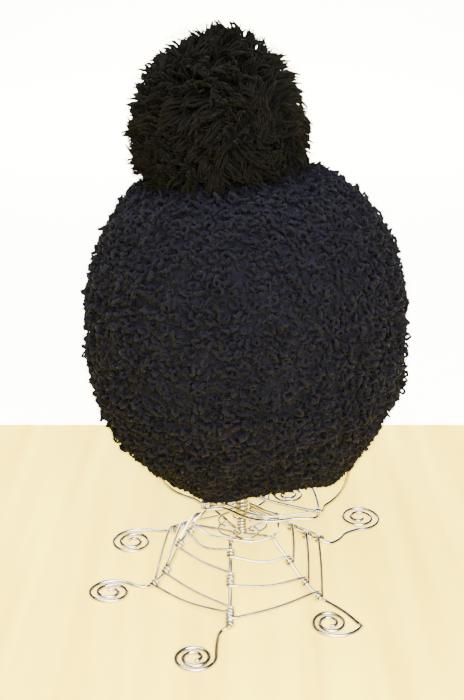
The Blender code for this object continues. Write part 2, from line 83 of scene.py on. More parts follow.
class NodePen:
    """Adds shader nodes to a new material and joins them."""

    def __init__(self, name: str) -> None:
        """Makes the material.

        Args:
            name: The material's name.
        """
        self.material = bpy.data.materials.new(name)
        self.material.use_nodes = True
        self.tree = self.material.node_tree
        self.shader = self.tree.nodes["Principled BSDF"]

    def node(self, kind: str, settings: dict | None = None, **values: object) -> bpy.types.Node:
        """Adds a node.

        Args:
            kind: The node's type without its "ShaderNode" prefix.
            settings: The node's own settings.
            values: Input values, with underscores for the spaces in their names.

        Returns:
            The new node.
        """
        made = self.tree.nodes.new(f"ShaderNode{kind}")
        for name, value in (settings or {}).items():
            setattr(made, name, value)
        for name, value in values.items():
            made.inputs[name.replace("_", " ")].default_value = value
        return made

    def join(self, source: bpy.types.NodeSocket, target: bpy.types.NodeSocket) -> None:
        """Links an output to an input."""
        self.tree.links.new(source, target)

    def ramp(
        self, source: bpy.types.NodeSocket, stops: tuple[float, ...], colours: tuple[tuple, ...]
    ) -> bpy.types.NodeSocket:
        """Maps a value to colours.

        Args:
            source: The value to map.
            stops: The value at which each colour is pure.
            colours: The RGB colours.

        Returns:
            The ramp's colour output.
        """
        made = self.node("ValToRGB")
        elements = made.color_ramp.elements
        while len(elements) < len(stops):
            elements.new(0.5)
        for element, position, colour in zip(elements, stops, colours):
            element.position = position
            element.color = (*colour, 1.0)
        self.join(source, made.inputs["Fac"])
        return made.outputs["Color"]

    def noise(self, vector: bpy.types.NodeSocket, scale: float, detail: float) -> bpy.types.NodeSocket:
        """Reads a noise texture.

        Args:
            vector: Where it is read.
            scale: How fine it is.
            detail: How many finer layers it has.

        Returns:
            The noise's value.
        """
        made = self.node("TexNoise", Scale=scale, Detail=detail)
        self.join(vector, made.inputs["Vector"])
        return made.outputs["Fac"]

    def stretched(self, scale: tuple, turn: float = 0.0) -> bpy.types.NodeSocket:
        """Stretches and turns the strand's own coordinates, which run round it and along it.

        Args:
            scale: How much each coordinate is stretched.
            turn: The turn in radians.

        Returns:
            The coordinates.
        """
        place = self.node("TexCoord")
        mapping = self.node("Mapping", Scale=scale, Rotation=(0.0, 0.0, turn))
        self.join(place.outputs["UV"], mapping.inputs["Vector"])
        return mapping.outputs["Vector"]

    def weighted(
        self, source: bpy.types.NodeSocket, weight: float, added: bpy.types.NodeSocket | None = None
    ) -> bpy.types.NodeSocket:
        """Multiplies a value by a weight, and adds another value to it.

        Args:
            source: The value.
            weight: Its weight.
            added: The value that is added, if any.

        Returns:
            The sum.
        """
        made = self.node("Math", {"operation": "MULTIPLY_ADD"})
        made.inputs[1].default_value = weight
        made.inputs[2].default_value = 0.0
        self.join(source, made.inputs[0])
        if added is not None:
            self.join(added, made.inputs[2])
        return made.outputs[0]

    def bump(
        self,
        height: bpy.types.NodeSocket,
        strength: float,
        distance: float,
        under: bpy.types.NodeSocket | None = None,
    ) -> bpy.types.NodeSocket:
        """Raises the surface by a height.

        Args:
            height: The height to read, from 0 to 1.
            strength: How strongly the bump shows.
            distance: The height of the bump in metres.
            under: The normal output of a bump that lies under this one.

        Returns:
            The normal output.
        """
        made = self.node("Bump", Strength=strength, Distance=distance)
        self.join(height, made.inputs["Height"])
        if under is not None:
            self.join(under, made.inputs["Normal"])
        return made.outputs["Normal"]


@dataclass(frozen=True)
class YarnFinish:
    """Soft matt yarn: fibres along each strand, fine flecks, and patches that are darker or lighter."""

    name: str
    slot: str
    deep: tuple
    middle: tuple
    light: tuple
    roughness: float
    sheen: float
    sheen_tint: tuple
    specular: float
    specular_tint: tuple
    fibre_scale: tuple
    fibre_turn: float
    fibre_depth: float
    fibre_strength: float = 0.7
    fibre_share: float = 0.45
    patch_scale: float = 55.0
    patch_share: float = 0.3
    fleck_scale: float = 620.0
    fleck_depth: float = 0.5 * MM
    fleck_strength: float = 0.35
    fleck_share: float = 0.25
    tone_stops: tuple = (0.34, 0.5, 0.66)
    sheen_roughness: float = 0.4

    def make(self) -> bpy.types.Material:
        """Builds the material.

        Returns:
            The material.
        """
        pen = NodePen(self.name)
        place = pen.node("TexCoord").outputs["Object"]
        patches = pen.noise(place, self.patch_scale, detail=2.0)
        flecks = pen.noise(place, self.fleck_scale, detail=2.0)
        fibres = pen.noise(pen.stretched(self.fibre_scale, self.fibre_turn), scale=1.0, detail=3.0)
        tone = pen.weighted(patches, self.patch_share)
        tone = pen.weighted(fibres, self.fibre_share, tone)
        tone = pen.weighted(flecks, self.fleck_share, tone)
        colour = pen.ramp(tone, self.tone_stops, (self.deep, self.middle, self.light))
        pen.join(colour, pen.shader.inputs["Base Color"])
        grain = pen.bump(flecks, self.fleck_strength, self.fleck_depth)
        furrows = pen.bump(fibres, self.fibre_strength, self.fibre_depth, grain)
        pen.join(furrows, pen.shader.inputs["Normal"])
        pen.shader.inputs["Roughness"].default_value = self.roughness
        pen.shader.inputs["Specular IOR Level"].default_value = self.specular
        pen.shader.inputs["Specular Tint"].default_value = (*self.specular_tint, 1.0)
        pen.shader.inputs["Sheen Weight"].default_value = self.sheen
        pen.shader.inputs["Sheen Roughness"].default_value = self.sheen_roughness
        pen.shader.inputs["Sheen Tint"].default_value = (*self.sheen_tint, 1.0)
        return pen.material


@dataclass(frozen=True)
class WireFinish:
    """Drawn wire with faint lines along it and a few dull spots."""

    name: str
    bright: tuple
    dull: tuple
    slot: str = "wire"
    smoothest: float = 0.14
    roughest: float = 0.32
    spot_scale: float = 140.0
    spot_stops: tuple = (0.3, 0.55)
    line_scale: tuple = (26.0, 0.7, 1.0)
    line_depth: float = 0.06 * MM
    line_strength: float = 0.18

    def make(self) -> bpy.types.Material:
        """Builds the material.

        Returns:
            The material.
        """
        pen = NodePen(self.name)
        place = pen.node("TexCoord").outputs["Object"]
        spots = pen.noise(place, self.spot_scale, detail=4.0)
        lines = pen.noise(pen.stretched(self.line_scale), scale=1.0, detail=2.0)
        pen.join(pen.ramp(spots, self.spot_stops, (self.dull, self.bright)), pen.shader.inputs["Base Color"])
        rough = pen.node("MapRange")
        rough.inputs["To Min"].default_value = self.smoothest
        rough.inputs["To Max"].default_value = self.roughest
        pen.join(spots, rough.inputs["Value"])
        pen.join(rough.outputs["Result"], pen.shader.inputs["Roughness"])
        pen.join(pen.bump(lines, self.line_strength, self.line_depth), pen.shader.inputs["Normal"])
        pen.shader.inputs["Metallic"].default_value = 1.0
        return pen.material


@dataclass(frozen=True)
class PaleFinish:
    """A plain pale painted or wooden surface for the setting, which glows a little."""

    name: str
    colour: tuple
    other: tuple
    roughness: float
    grain: tuple
    glow: float
    vein_stops: tuple = (0.35, 0.62)
    specular: float = 0.25

    def make(self) -> bpy.types.Material:
        """Builds the material.

        Returns:
            The material.
        """
        pen = NodePen(self.name)
        place = pen.node("TexCoord").outputs["Object"]
        mapping = pen.node("Mapping", Scale=self.grain)
        pen.join(place, mapping.inputs["Vector"])
        veins = pen.noise(mapping.outputs["Vector"], scale=1.0, detail=3.0)
        shades = pen.ramp(veins, self.vein_stops, (self.other, self.colour))
        pen.join(shades, pen.shader.inputs["Base Color"])
        pen.join(shades, pen.shader.inputs["Emission Color"])
        pen.shader.inputs["Roughness"].default_value = self.roughness
        pen.shader.inputs["Specular IOR Level"].default_value = self.specular
        pen.shader.inputs["Emission Strength"].default_value = self.glow
        return pen.material


KNIT_YARN = YarnFinish(
    name="looped_yarn",
    slot="knit",
    deep=(0.0021, 0.0022, 0.0041),
    middle=(0.0042, 0.0043, 0.0074),
    light=(0.0078, 0.0078, 0.0122),
    roughness=0.9,
    sheen=0.025,
    sheen_tint=(0.80, 0.74, 0.76),
    specular=0.07,
    specular_tint=(0.76, 0.78, 0.98),
    fibre_scale=(7.0, 1.6, 1.0),
    fibre_turn=0.5,
    fibre_depth=0.5 * MM,
)
# The fuzz is the cap's yarn painted lighter: painted backlight on its thin fibres.
FUZZ_PAINTED_BACKLIGHT = replace(
    KNIT_YARN,
    name="fuzz_painted_backlight",
    deep=(0.006, 0.0055, 0.0056),
    middle=(0.012, 0.0105, 0.0100),
    light=(0.022, 0.019, 0.017),
)
SOFT_NAP = replace(KNIT_YARN, name="soft_nap", sheen=0.015, specular=0.05)
POMPOM_YARN = YarnFinish(
    name="cut_yarn",
    slot="pompom_yarn",
    deep=(0.0014, 0.0016, 0.0015),
    middle=(0.0018, 0.0020, 0.0018),
    light=(0.0026, 0.0028, 0.0025),
    roughness=0.85,
    sheen=0.03,
    sheen_tint=(0.8, 0.7, 0.55),
    specular=0.06,
    specular_tint=(1.0, 0.98, 0.94),
    fibre_scale=(9.0, 0.9, 1.0),
    fibre_turn=0.12,
    fibre_depth=0.6 * MM,
)
PALE_TABLE = PaleFinish(
    name="pale_table",
    colour=(0.98, 0.74, 0.045),
    other=(0.81, 0.57, 0.028),
    roughness=0.55,
    grain=(46.0, 3.0, 1.0),
    glow=3.9,
)
WHITE_WALL = PaleFinish(
    name="white_backdrop",
    colour=(0.95, 0.93, 0.80),
    other=(0.95, 0.93, 0.80),
    roughness=0.9,
    grain=(3.0, 3.0, 3.0),
    glow=9.0,
)
BRIGHT_WIRE = WireFinish("drawn_wire", bright=(0.70, 0.67, 0.60), dull=(0.48, 0.45, 0.38))
# The ribs' finish is the same wire painted darker: painted shade for the ribs under the cap.
SHADED_RIB_WIRE = WireFinish("rib_wire_painted_shade", bright=(0.40, 0.37, 0.28), dull=(0.24, 0.22, 0.16))


@cache
def material_of(finish: YarnFinish | WireFinish) -> bpy.types.Material:
    """The material of a finish, built when it is first asked for."""
    return finish.make()


def unit(vectors: np.ndarray) -> np.ndarray:
    """Vectors of length 1."""
    return vectors / (np.linalg.norm(vectors, axis=-1, keepdims=True) + TINY)


def swung(angle: np.ndarray, first: np.ndarray, second: np.ndarray) -> np.ndarray:
    """Directions turned by an angle from a first one towards a second one."""
    return np.cos(angle)[..., None] * first + np.sin(angle)[..., None] * second


@dataclass
class Strands:
    """Round strands gathered into one mesh: vertices, faces and coordinates round and along each strand."""

    points: list = field(default_factory=list)
    faces: list = field(default_factory=list)
    places: list = field(default_factory=list)
    count: int = 0
    unit_length: float = 10 * MM
    spin_shift: float = 3.7
    any_way: tuple = (0.31, 0.22, 0.93)

    def add_grid(self, rings: np.ndarray, joined: bool, along: np.ndarray, spin: np.ndarray) -> np.ndarray:
        """Adds grids of vertices joined by quads.

        Args:
            rings: Vertices as (strands, steps, sides, 3).
            joined: Whether the last side joins the first.
            along: Each step's coordinate along its strand, as (strands, steps).
            spin: Each strand's first coordinate round it.

        Returns:
            The vertices' numbers, as (strands, steps, sides).
        """
        strands, steps, sides = rings.shape[:3]
        index = np.arange(strands * steps * sides).reshape(strands, steps, sides) + self.count
        self.points.append(rings.reshape(-1, 3))
        self.count += strands * steps * sides
        last = sides if joined else sides - 1
        here = index[:, :, :last]
        following = np.roll(index, -1, axis=2)[:, :, :last]
        quads = np.stack([here[:, :-1], following[:, :-1], following[:, 1:], here[:, 1:]], axis=-1)
        self.faces.append(quads.reshape(-1, 4))
        turn = np.arange(last) / sides
        shape = (strands, steps - 1, last)
        left = np.broadcast_to(turn[None, None, :] + spin[:, None, None], shape)
        right = left + 1 / sides
        low = np.broadcast_to(along[:, :-1, None], shape)
        high = np.broadcast_to(along[:, 1:, None], shape)
        corners = np.stack([left, low, right, low, right, high, left, high], axis=-1)
        self.places.append(corners.reshape(-1, 2))
        return index

    def add_tubes(
        self,
        paths: np.ndarray,
        radii: np.ndarray,
        sides: int,
        spin: np.ndarray | None = None,
        closed: bool = False,
    ) -> None:
        """Adds round strands along paths.

        Args:
            paths: Points as (strands, steps, 3).
            radii: Radii as (strands, steps).
            sides: Sides of each strand.
            spin: Each strand's first coordinate round it.
            closed: Whether each path is a ring whose last step is its first.
        """
        tangents = np.gradient(paths, axis=1)
        if closed:
            tangents[:, 0] = tangents[:, -1] = paths[:, 1] - paths[:, -2]
        tangents = unit(tangents)
        wide = np.empty_like(paths)
        current = np.cross(tangents[:, 0], np.array(self.any_way))
        for step in range(paths.shape[1]):
            here = tangents[:, step]
            current = unit(current - np.sum(current * here, axis=-1, keepdims=True) * here)
            wide[:, step] = current
        if closed:
            wide[:, -1] = wide[:, 0]
        thin = np.cross(tangents, wide)
        angles = math.tau * np.arange(sides) / sides
        outward = swung(angles, wide[:, :, None], thin[:, :, None])
        rings = paths[:, :, None] + radii[:, :, None, None] * outward
        steps = np.linalg.norm(np.diff(paths, axis=1), axis=-1)
        run = np.concatenate([np.zeros((len(paths), 1)), np.cumsum(steps, axis=1)], axis=1)
        if spin is None:
            spin = np.zeros(len(paths))
        along = run / self.unit_length + spin[:, None] * self.spin_shift
        index = self.add_grid(rings, True, along, spin)
        if not closed:
            for end in (index[:, 0, ::-1], index[:, -1]):
                self.faces.append(end)
                self.places.append(np.zeros((end.size, 2)))

    def make(self, name: str, finish: YarnFinish | WireFinish, *replaces: str) -> None:
        """Turns the strands into a piece that rides on the stand.

        Args:
            name: The piece's name.
            finish: The finish, whose material the piece takes.
            replaces: The frame's nodes that the piece stands for.
        """
        mesh = bpy.data.meshes.new(name)
        points = np.concatenate(self.points)
        corners = np.concatenate([faces.ravel() for faces in self.faces])
        sizes = np.concatenate([np.full(len(faces), faces.shape[1]) for faces in self.faces])
        mesh.vertices.add(len(points))
        mesh.vertices.foreach_set("co", points.astype(np.float32).ravel())
        mesh.loops.add(len(corners))
        mesh.loops.foreach_set("vertex_index", corners.astype(np.int32))
        mesh.polygons.add(len(sizes))
        mesh.polygons.foreach_set("loop_start", (np.cumsum(sizes) - sizes).astype(np.int32))
        places = mesh.uv_layers.new(name="strand")
        places.data.foreach_set("uv", np.concatenate(self.places).astype(np.float32).ravel())
        mesh.update(calc_edges=True)
        mesh.validate()
        mesh.shade_smooth()
        mesh.materials.append(material_of(finish))
        piece = bpy.data.objects.new(name, mesh)
        bpy.context.scene.collection.objects.link(piece)
        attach(piece, ROOT)
        if replaces:
            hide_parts(*replaces)
        LOG.info("%s: %d faces", name, len(sizes))


@dataclass(frozen=True)
class Hairs:
    """Fine curved fibres, each a narrow ribbon that tapers to its tip."""

    length: float
    width: float
    upright: tuple = (0.25, 1.0)
    steps: int = 4
    lengths: tuple = (0.45, 1.25)
    curl: float = 0.35
    curl_spread: float = 0.4
    face_spread: float = 0.3
    taper: float = 0.75
    spins: float = 40.0

    def grow(self, strands: Strands, rng: np.random.Generator, base: np.ndarray, axes: tuple) -> None:
        """Adds the fibres to strands.

        Args:
            strands: Where the ribbons go.
            rng: The source of their unevenness.
            base: The points that they grow from.
            axes: The directions level, up and out at each point.
        """
        count = len(base)
        level, rise, outward = axes
        aside = swung(rng.uniform(0, math.tau, count), level, rise)
        out_share = rng.uniform(*self.upright, count)[:, None]
        way = unit(outward * out_share + aside * np.sqrt(1 - 0.8 * out_share**2))
        curl = unit(np.cross(way, outward) + self.curl_spread * rng.normal(0, 1, (count, 3)))
        reach = (self.length * rng.uniform(*self.lengths, count))[:, None]
        shares = np.linspace(0, 1, self.steps)
        paths = np.stack([base + way * reach * s + curl * reach * self.curl * s**2 for s in shares], axis=1)
        across = unit(np.cross(way, curl) + self.face_spread * rng.normal(0, 1, (count, 3)))
        half = self.width / 2 * (1 - self.taper * shares)
        rings = paths[:, :, None] + np.stack([-across, across], axis=1)[:, None] * half[None, :, None, None]
        spin = rng.uniform(0, self.spins, count)
        strands.add_grid(rings, False, shares[None, :] + spin[:, None], spin)


@dataclass
class CapSurface:
    """The cap's outer and inner sides, read from its solid along rays through its middle."""

    node: bpy.types.Object
    middle: tuple = (2 * MM, 0.0, 200 * MM)
    longitudes: int = 144
    rows: int = 96
    ray_start: float = 0.4
    rim_search: tuple = (-80.0, -15.0)
    rim_halvings: int = 14
    rim_margin: float = 0.01
    crown_share: float = 0.9999
    thinnest_wall: float = 3.5 * MM
    axis_step: float = 0.006
    wales: int = 60
    courses: int = 34
    stitch_depth: float = 2.8 * MM
    stitch_roundness: float = 0.7
    stitch_middle: float = 0.55
    course_share: float = 0.4
    lump_depth: float = 0.7 * MM
    centre: Vector = field(init=False)
    tree: BVHTree = field(init=False)
    grids: dict = field(init=False)
    height: float = field(init=False)

    def __post_init__(self) -> None:
        """Reads both sides of the wall, smooths them and spaces their rows evenly."""
        mesh = self.node.data
        self.tree = BVHTree.FromPolygons([v.co for v in mesh.vertices], [p.vertices for p in mesh.polygons])
        self.centre = Vector(self.middle)
        outer = np.zeros((self.longitudes, self.rows))
        inner = np.zeros_like(outer)
        lowest = np.array([self._rim_latitude(k) for k in range(self.longitudes)])
        lowest = self._smoothed(lowest[:, None])
        latitudes = lowest + (math.pi / 2 - lowest) * np.linspace(0, self.crown_share, self.rows)[None, :]
        for k in range(self.longitudes):
            for row in range(self.rows):
                way = self._way(k, max(latitudes[k, row], lowest[k, 0] + self.rim_margin))
                outer[k, row] = self._outer_distance(way)
                inner[k, row] = self._inner_distance(way)
        outer = self._smoothed(self._filled(outer))
        inner = np.minimum(self._smoothed(self._filled(inner)), outer - self.thinnest_wall)
        angles = math.tau * np.arange(self.longitudes)[:, None] / self.longitudes
        flat = np.cos(latitudes)
        ways = np.stack([flat * np.cos(angles), flat * np.sin(angles), np.sin(latitudes)], axis=-1)
        self.grids = {
            Side.OUTSIDE: self._evened(np.array(self.centre) + ways * outer[..., None]),
            Side.INSIDE: self._evened(np.array(self.centre) + ways * inner[..., None]),
        }
        steps = np.diff(self.grids[Side.OUTSIDE], axis=1)
        self.height = float(np.linalg.norm(steps, axis=-1).sum(axis=1).mean())

    def _way(self, longitude: int, latitude: float) -> Vector:
        """Finds a direction from the middle.

        Args:
            longitude: The longitude's number.
            latitude: The latitude in radians.

        Returns:
            The direction.
        """
        angle = math.tau * longitude / self.longitudes
        flat = math.cos(latitude)
        return Vector((flat * math.cos(angle), flat * math.sin(angle), math.sin(latitude)))

    def _outer_distance(self, way: Vector) -> float:
        """How far the outer side lies from the middle, or 0 where there is none."""
        place, _, _, _ = self.tree.ray_cast(self.centre + way * self.ray_start, -way)
        return max((place - self.centre).dot(way), 0.0) if place else 0.0

    def _inner_distance(self, way: Vector) -> float:
        """How far the inner side lies from the middle, or 0 where there is none."""
        place, _, _, _ = self.tree.ray_cast(self.centre, way)
        return (place - self.centre).length if place else 0.0

    def _rim_latitude(self, longitude: int) -> float:
        """Finds the rim by halving the range in which it must lie.

        Args:
            longitude: The longitude's number.

        Returns:
            The rim's latitude there, in radians.
        """
        low, high = (math.radians(angle) for angle in self.rim_search)
        for _ in range(self.rim_halvings):
            middle = (low + high) / 2
            if self._outer_distance(self._way(longitude, middle)) > 0:
                high = middle
            else:
                low = middle
        return high

    @staticmethod
    def _filled(distances: np.ndarray) -> np.ndarray:
        """Fills each gap in a grid of distances from the row above it.

        Args:
            distances: The distances, with 0 where there is none.

        Returns:
            The filled grid.
        """
        for row in range(distances.shape[1] - 2, -1, -1):
            empty = distances[:, row] <= 0
            distances[empty, row] = distances[empty, row + 1]
        return distances

    @staticmethod
    def _smoothed(grid: np.ndarray, rounds: int = 2) -> np.ndarray:
        """Softens a grid's corners round the cap and up its side.

        Args:
            grid: The grid, as (longitudes, rows).
            rounds: How often it is done.

        Returns:
            The softened grid.
        """
        for _ in range(rounds):
            grid = (np.roll(grid, 1, axis=0) + 2 * grid + np.roll(grid, -1, axis=0)) / 4
            if grid.shape[1] > 2:
                middle = (grid[:, :-2] + 2 * grid[:, 1:-1] + grid[:, 2:]) / 4
                grid = np.concatenate([grid[:, :1], middle, grid[:, -1:]], axis=1)
        return grid

    @staticmethod
    def _evened(grid: np.ndarray) -> np.ndarray:
        """Spaces a grid's rows the same distance apart up each longitude.

        Args:
            grid: Points as (longitudes, rows, 3).

        Returns:
            The evened points.
        """
        made = np.empty_like(grid)
        for k, line in enumerate(grid):
            steps = np.linalg.norm(np.diff(line, axis=0), axis=-1)
            run = np.concatenate([[0], np.cumsum(steps)])
            wanted = np.linspace(0, run[-1], len(line))
            for axis in range(3):
                made[k, :, axis] = np.interp(wanted, run, line[:, axis])
        return made

    def at(self, turn: np.ndarray, share: np.ndarray, side: Side = Side.OUTSIDE) -> np.ndarray:
        """Finds points of the cap's side.

        Args:
            turn: How far round the cap, in whole turns.
            share: How far up its side, from 0 at the rim to 1 at the crown.
            side: The side of the wall.

        Returns:
            The points.
        """
        grid = self.grids[side]
        x = np.mod(turn, 1.0) * self.longitudes
        y = np.clip(share, 0.0, 1.0) * (self.rows - 1)
        first = np.floor(x).astype(int) % self.longitudes
        low = np.minimum(np.floor(y).astype(int), self.rows - 2)
        a = (x - np.floor(x))[..., None]
        b = (y - low)[..., None]
        following = (first + 1) % self.longitudes
        below = grid[first, low] * (1 - a) + grid[following, low] * a
        above = grid[first, low + 1] * (1 - a) + grid[following, low + 1] * a
        return below * (1 - b) + above * b

    def relief(self, turn: np.ndarray, share: np.ndarray) -> np.ndarray:
        """Works out how far uneven columns of stitches and soft lumps stand out of the outer side.

        Args:
            turn: How far round the cap, in whole turns.
            share: How far up its side.

        Returns:
            The heights in metres.
        """

        def wave(crests_round: float, crests_up: float, phase: float = 0.0) -> np.ndarray:
            """A smooth wave over the cap, between -1 and 1."""
            return np.sin(math.tau * (crests_round * turn + crests_up * share) + phase)

        def ridge(position: np.ndarray) -> np.ndarray:
            """Rounded ridges, one for each whole number, between 0 and 1."""
            return np.abs(np.cos(math.pi * position)) ** self.stitch_roundness

        sway = 0.3 * wave(3, 1.3) + 0.22 * wave(8, -2.1)
        column = self.wales * turn + sway
        course = ridge(self.courses * share + 0.5 * (np.round(column) % 2) + 0.4 * sway)
        stitches = ridge(column) * (1 - self.course_share + self.course_share * course) - self.stitch_middle
        lumps = wave(5, 3) * wave(13, -4, phase=1)
        fade = np.clip((1 - share) * 6, 0, 1) * np.clip(share * 25, 0, 1)
        return fade * (self.stitch_depth * stitches + self.lump_depth * lumps)

    def raised(self, turn: np.ndarray, share: np.ndarray) -> np.ndarray:
        """Points of the outer side with the relief of its stitches."""
        _, _, outward = self.axes(turn, share)
        return self.at(turn, share) + outward * self.relief(turn, share)[..., None]

    def axes(self, turn: np.ndarray, share: np.ndarray, side: Side = Side.OUTSIDE) -> tuple:
        """Finds the directions of the cap's side at points of it.

        Args:
            turn: How far round the cap, in whole turns.
            share: How far up its side.
            side: The side of the wall.

        Returns:
            The directions level round the cap, up its side and straight out of it.
        """
        step = self.axis_step
        level = unit(self.at(turn + step, share, side) - self.at(turn - step, share, side))
        rise = self.at(turn, share + step, side) - self.at(turn, share - step, side)
        outward = unit(np.cross(level, rise))
        return level, np.cross(outward, level), outward


@dataclass
class KnitCap:
    """The cap: a bumpy knitted wall, rounds of curled loops on it, a looped rim and a halo of fuzz."""

    surface: CapSurface
    finish: YarnFinish
    fuzz_backlight_finish: YarnFinish
    nap_finish: YarnFinish
    wall_sink: float = 4.0 * MM
    wall_rim_lift: float = 2.6 * MM
    wall_turns: int = 120
    wall_rows: int = 56
    wall_top: float = 0.999
    row_pitch: float = 4.5 * MM
    loop_pitch: float = 4.6 * MM
    loop_scatter: float = 0.2
    row_scatter: float = 0.22
    loop_radius: float = 2.4 * MM
    loop_sizes: tuple = (0.75, 1.3)
    loop_turns: tuple = (0.72, 1.25)
    loop_leans: tuple = (15, 80)
    loop_start: float = 1.05
    loop_shrink: float = 0.4
    loop_wobble: float = 0.5 * MM
    loop_depth: float = 2.2 * MM
    lining_depth: float = 0.6 * MM
    depth_spread: float = 0.75 * MM
    end_dip: float = 1.6 * MM
    proud_share: float = 0.05
    proud_height: float = 1.8 * MM
    strand_radius: float = 1.3 * MM
    strand_widths: tuple = (0.8, 1.2)
    strand_lumps: tuple = (0.86, 1.14)
    strand_tip: float = 0.3
    loop_steps: int = 7
    loop_sides: int = 4
    loops_each: int = 3600
    spins: float = 40.0
    rim_share: float = 0.05
    rim_loops: int = 420
    rim_lift: float = 0.6 * MM
    rim_sizes: tuple = (1.1 * MM, 2.3 * MM)
    rim_widths: tuple = (0.75, 1.15)
    rim_headings: float = 0.9
    rim_wobble: float = 0.3 * MM
    lining_loops: int = 400
    lining_reach: float = 0.55
    lining_width: float = 0.85
    hairs: int = 12000
    hair_sink: float = 1.6 * MM
    low_hair_share: float = 0.55
    low_hair_top: float = 0.72
    hair: Hairs = Hairs(length=7.5 * MM, width=0.2 * MM)
    nap_fibres: int = 22000
    nap_top: float = 0.86
    nap_sinks: tuple = (0.2 * MM, 1.6 * MM)
    nap: Hairs = Hairs(length=3.4 * MM, width=0.45 * MM, upright=(0.0, 0.45), steps=3)

    def build(self) -> None:
        """Builds all the cap's pieces."""
        self.build_wall()
        self.build_loops()
        self.build_rim()
        self.build_lining()
        self.build_fuzz()
        self.build_nap()

    def build_wall(self) -> None:
        """Makes the wall that the loops stand on, lumpy outside, smooth inside and closed round the rim."""
        turns = np.arange(self.wall_turns) / self.wall_turns
        shares = np.linspace(0.0, self.wall_top, self.wall_rows)
        turn, share = np.meshgrid(turns, shares[::-1], indexing="ij")
        inner = self.surface.at(turn, share, Side.INSIDE)
        turn, share = np.meshgrid(turns, shares, indexing="ij")
        _, _, outward = self.surface.axes(turn, share)
        sink = self.wall_sink - self.wall_rim_lift * np.clip(1 - share / self.rim_share, 0, 1)
        lift = self.surface.relief(turn, share) - sink
        outer = self.surface.at(turn, share) + outward * lift[..., None]
        columns = np.transpose(np.concatenate([inner, outer], axis=1), (1, 0, 2))[None]
        strands = Strands()
        along = np.linspace(0, 2 * self.surface.height, columns.shape[1])[None] / strands.unit_length
        strands.add_grid(columns, True, along, np.zeros(1))
        strands.make("knit_wall", self.finish, "cap_body")

    def loop_places(self, ring_points: int = 72) -> tuple[np.ndarray, np.ndarray]:
        """Finds where the loops stand, in uneven rounds.

        Args:
            ring_points: The points by which each round's length is measured.

        Returns:
            The turns round the cap and the shares up its side.
        """
        rng = np.random.default_rng(SEED)
        rows = int(self.surface.height / self.row_pitch)
        turns, shares = [], []
        for row in range(rows):
            share = (row + 0.5) / rows
            ring = self.surface.at(np.arange(ring_points) / ring_points, np.full(ring_points, share))
            length = np.linalg.norm(ring - np.roll(ring, 1, axis=0), axis=-1).sum()
            count = max(3, int(length / self.loop_pitch))
            places = np.arange(count) + 0.5 * (row % 2) + rng.normal(0, self.loop_scatter, count)
            turns.append(places / count)
            shares.append(share + rng.normal(0, self.row_scatter, count) / rows)
        return np.concatenate(turns), np.clip(np.concatenate(shares), 0.004, 0.995)

    def loop_paths(
        self, turn: np.ndarray, share: np.ndarray, side: Side, seed: int
    ) -> tuple[np.ndarray, np.ndarray]:
        """Works out the strands of curled loops.

        Args:
            turn: Their turns round the cap.
            share: Their shares up its side.
            side: The side of the wall that they stand on.
            seed: The seed of their unevenness.

        Returns:
            Their paths and radii.
        """
        rng = np.random.default_rng(seed)
        count = len(turn)
        level, rise, outward = self.surface.axes(turn, share, side)
        if side is Side.INSIDE:
            base = self.surface.at(turn, share, side)
            outward = -outward
            sunk = self.lining_depth
        else:
            base = self.surface.raised(turn, share)
            sunk = self.loop_depth
        across = swung(rng.uniform(0, math.tau, count), level, rise)
        lean = np.radians(rng.uniform(*self.loop_leans, count))
        standing = swung(lean, np.cross(outward, across), outward)
        size = self.loop_radius * rng.uniform(*self.loop_sizes, count)
        turned = math.tau * rng.uniform(*self.loop_turns, count)
        first = rng.uniform(0, math.tau, count)
        shares = np.linspace(0, 1, self.loop_steps)[None, :]
        reach = size[:, None] * (self.loop_start - self.loop_shrink * shares)
        drift = rng.normal(0, self.loop_wobble, (count, self.loop_steps, 3))
        proud = np.where(rng.uniform(0, 1, count) < self.proud_share, self.proud_height, 0.0)
        depth = sunk + rng.normal(0, self.depth_spread, count) - proud
        sunk_depth = depth[:, None] + np.abs(2 * shares - 1) ** 3 * self.end_dip
        curve = swung(first[:, None] + turned[:, None] * shares, across[:, None], standing[:, None])
        paths = base[:, None] + curve * reach[..., None] - outward[:, None] * sunk_depth[..., None] + drift
        thick = self.strand_radius * rng.uniform(*self.strand_widths, count)[:, None]
        swell = np.sin(math.pi * np.clip(shares, 0.06, 0.94)) ** 0.7
        radii = thick * (self.strand_tip + (1 - self.strand_tip) * swell)
        return paths, radii * rng.uniform(*self.strand_lumps, (count, self.loop_steps))

    def build_loops(self) -> None:
        """Makes the curls all over the cap, in several pieces from the rim to the crown."""
        turn, share = self.loop_places()
        paths, radii = self.loop_paths(turn, share, Side.OUTSIDE, SEED + 1)
        spin = np.random.default_rng(SEED + 2).uniform(0, self.spins, len(turn))
        for number, first in enumerate(range(0, len(turn), self.loops_each), start=1):
            part = slice(first, first + self.loops_each)
            strands = Strands()
            strands.add_tubes(paths[part], radii[part], self.loop_sides, spin[part])
            strands.make(f"knit_loops_{number}", self.finish)

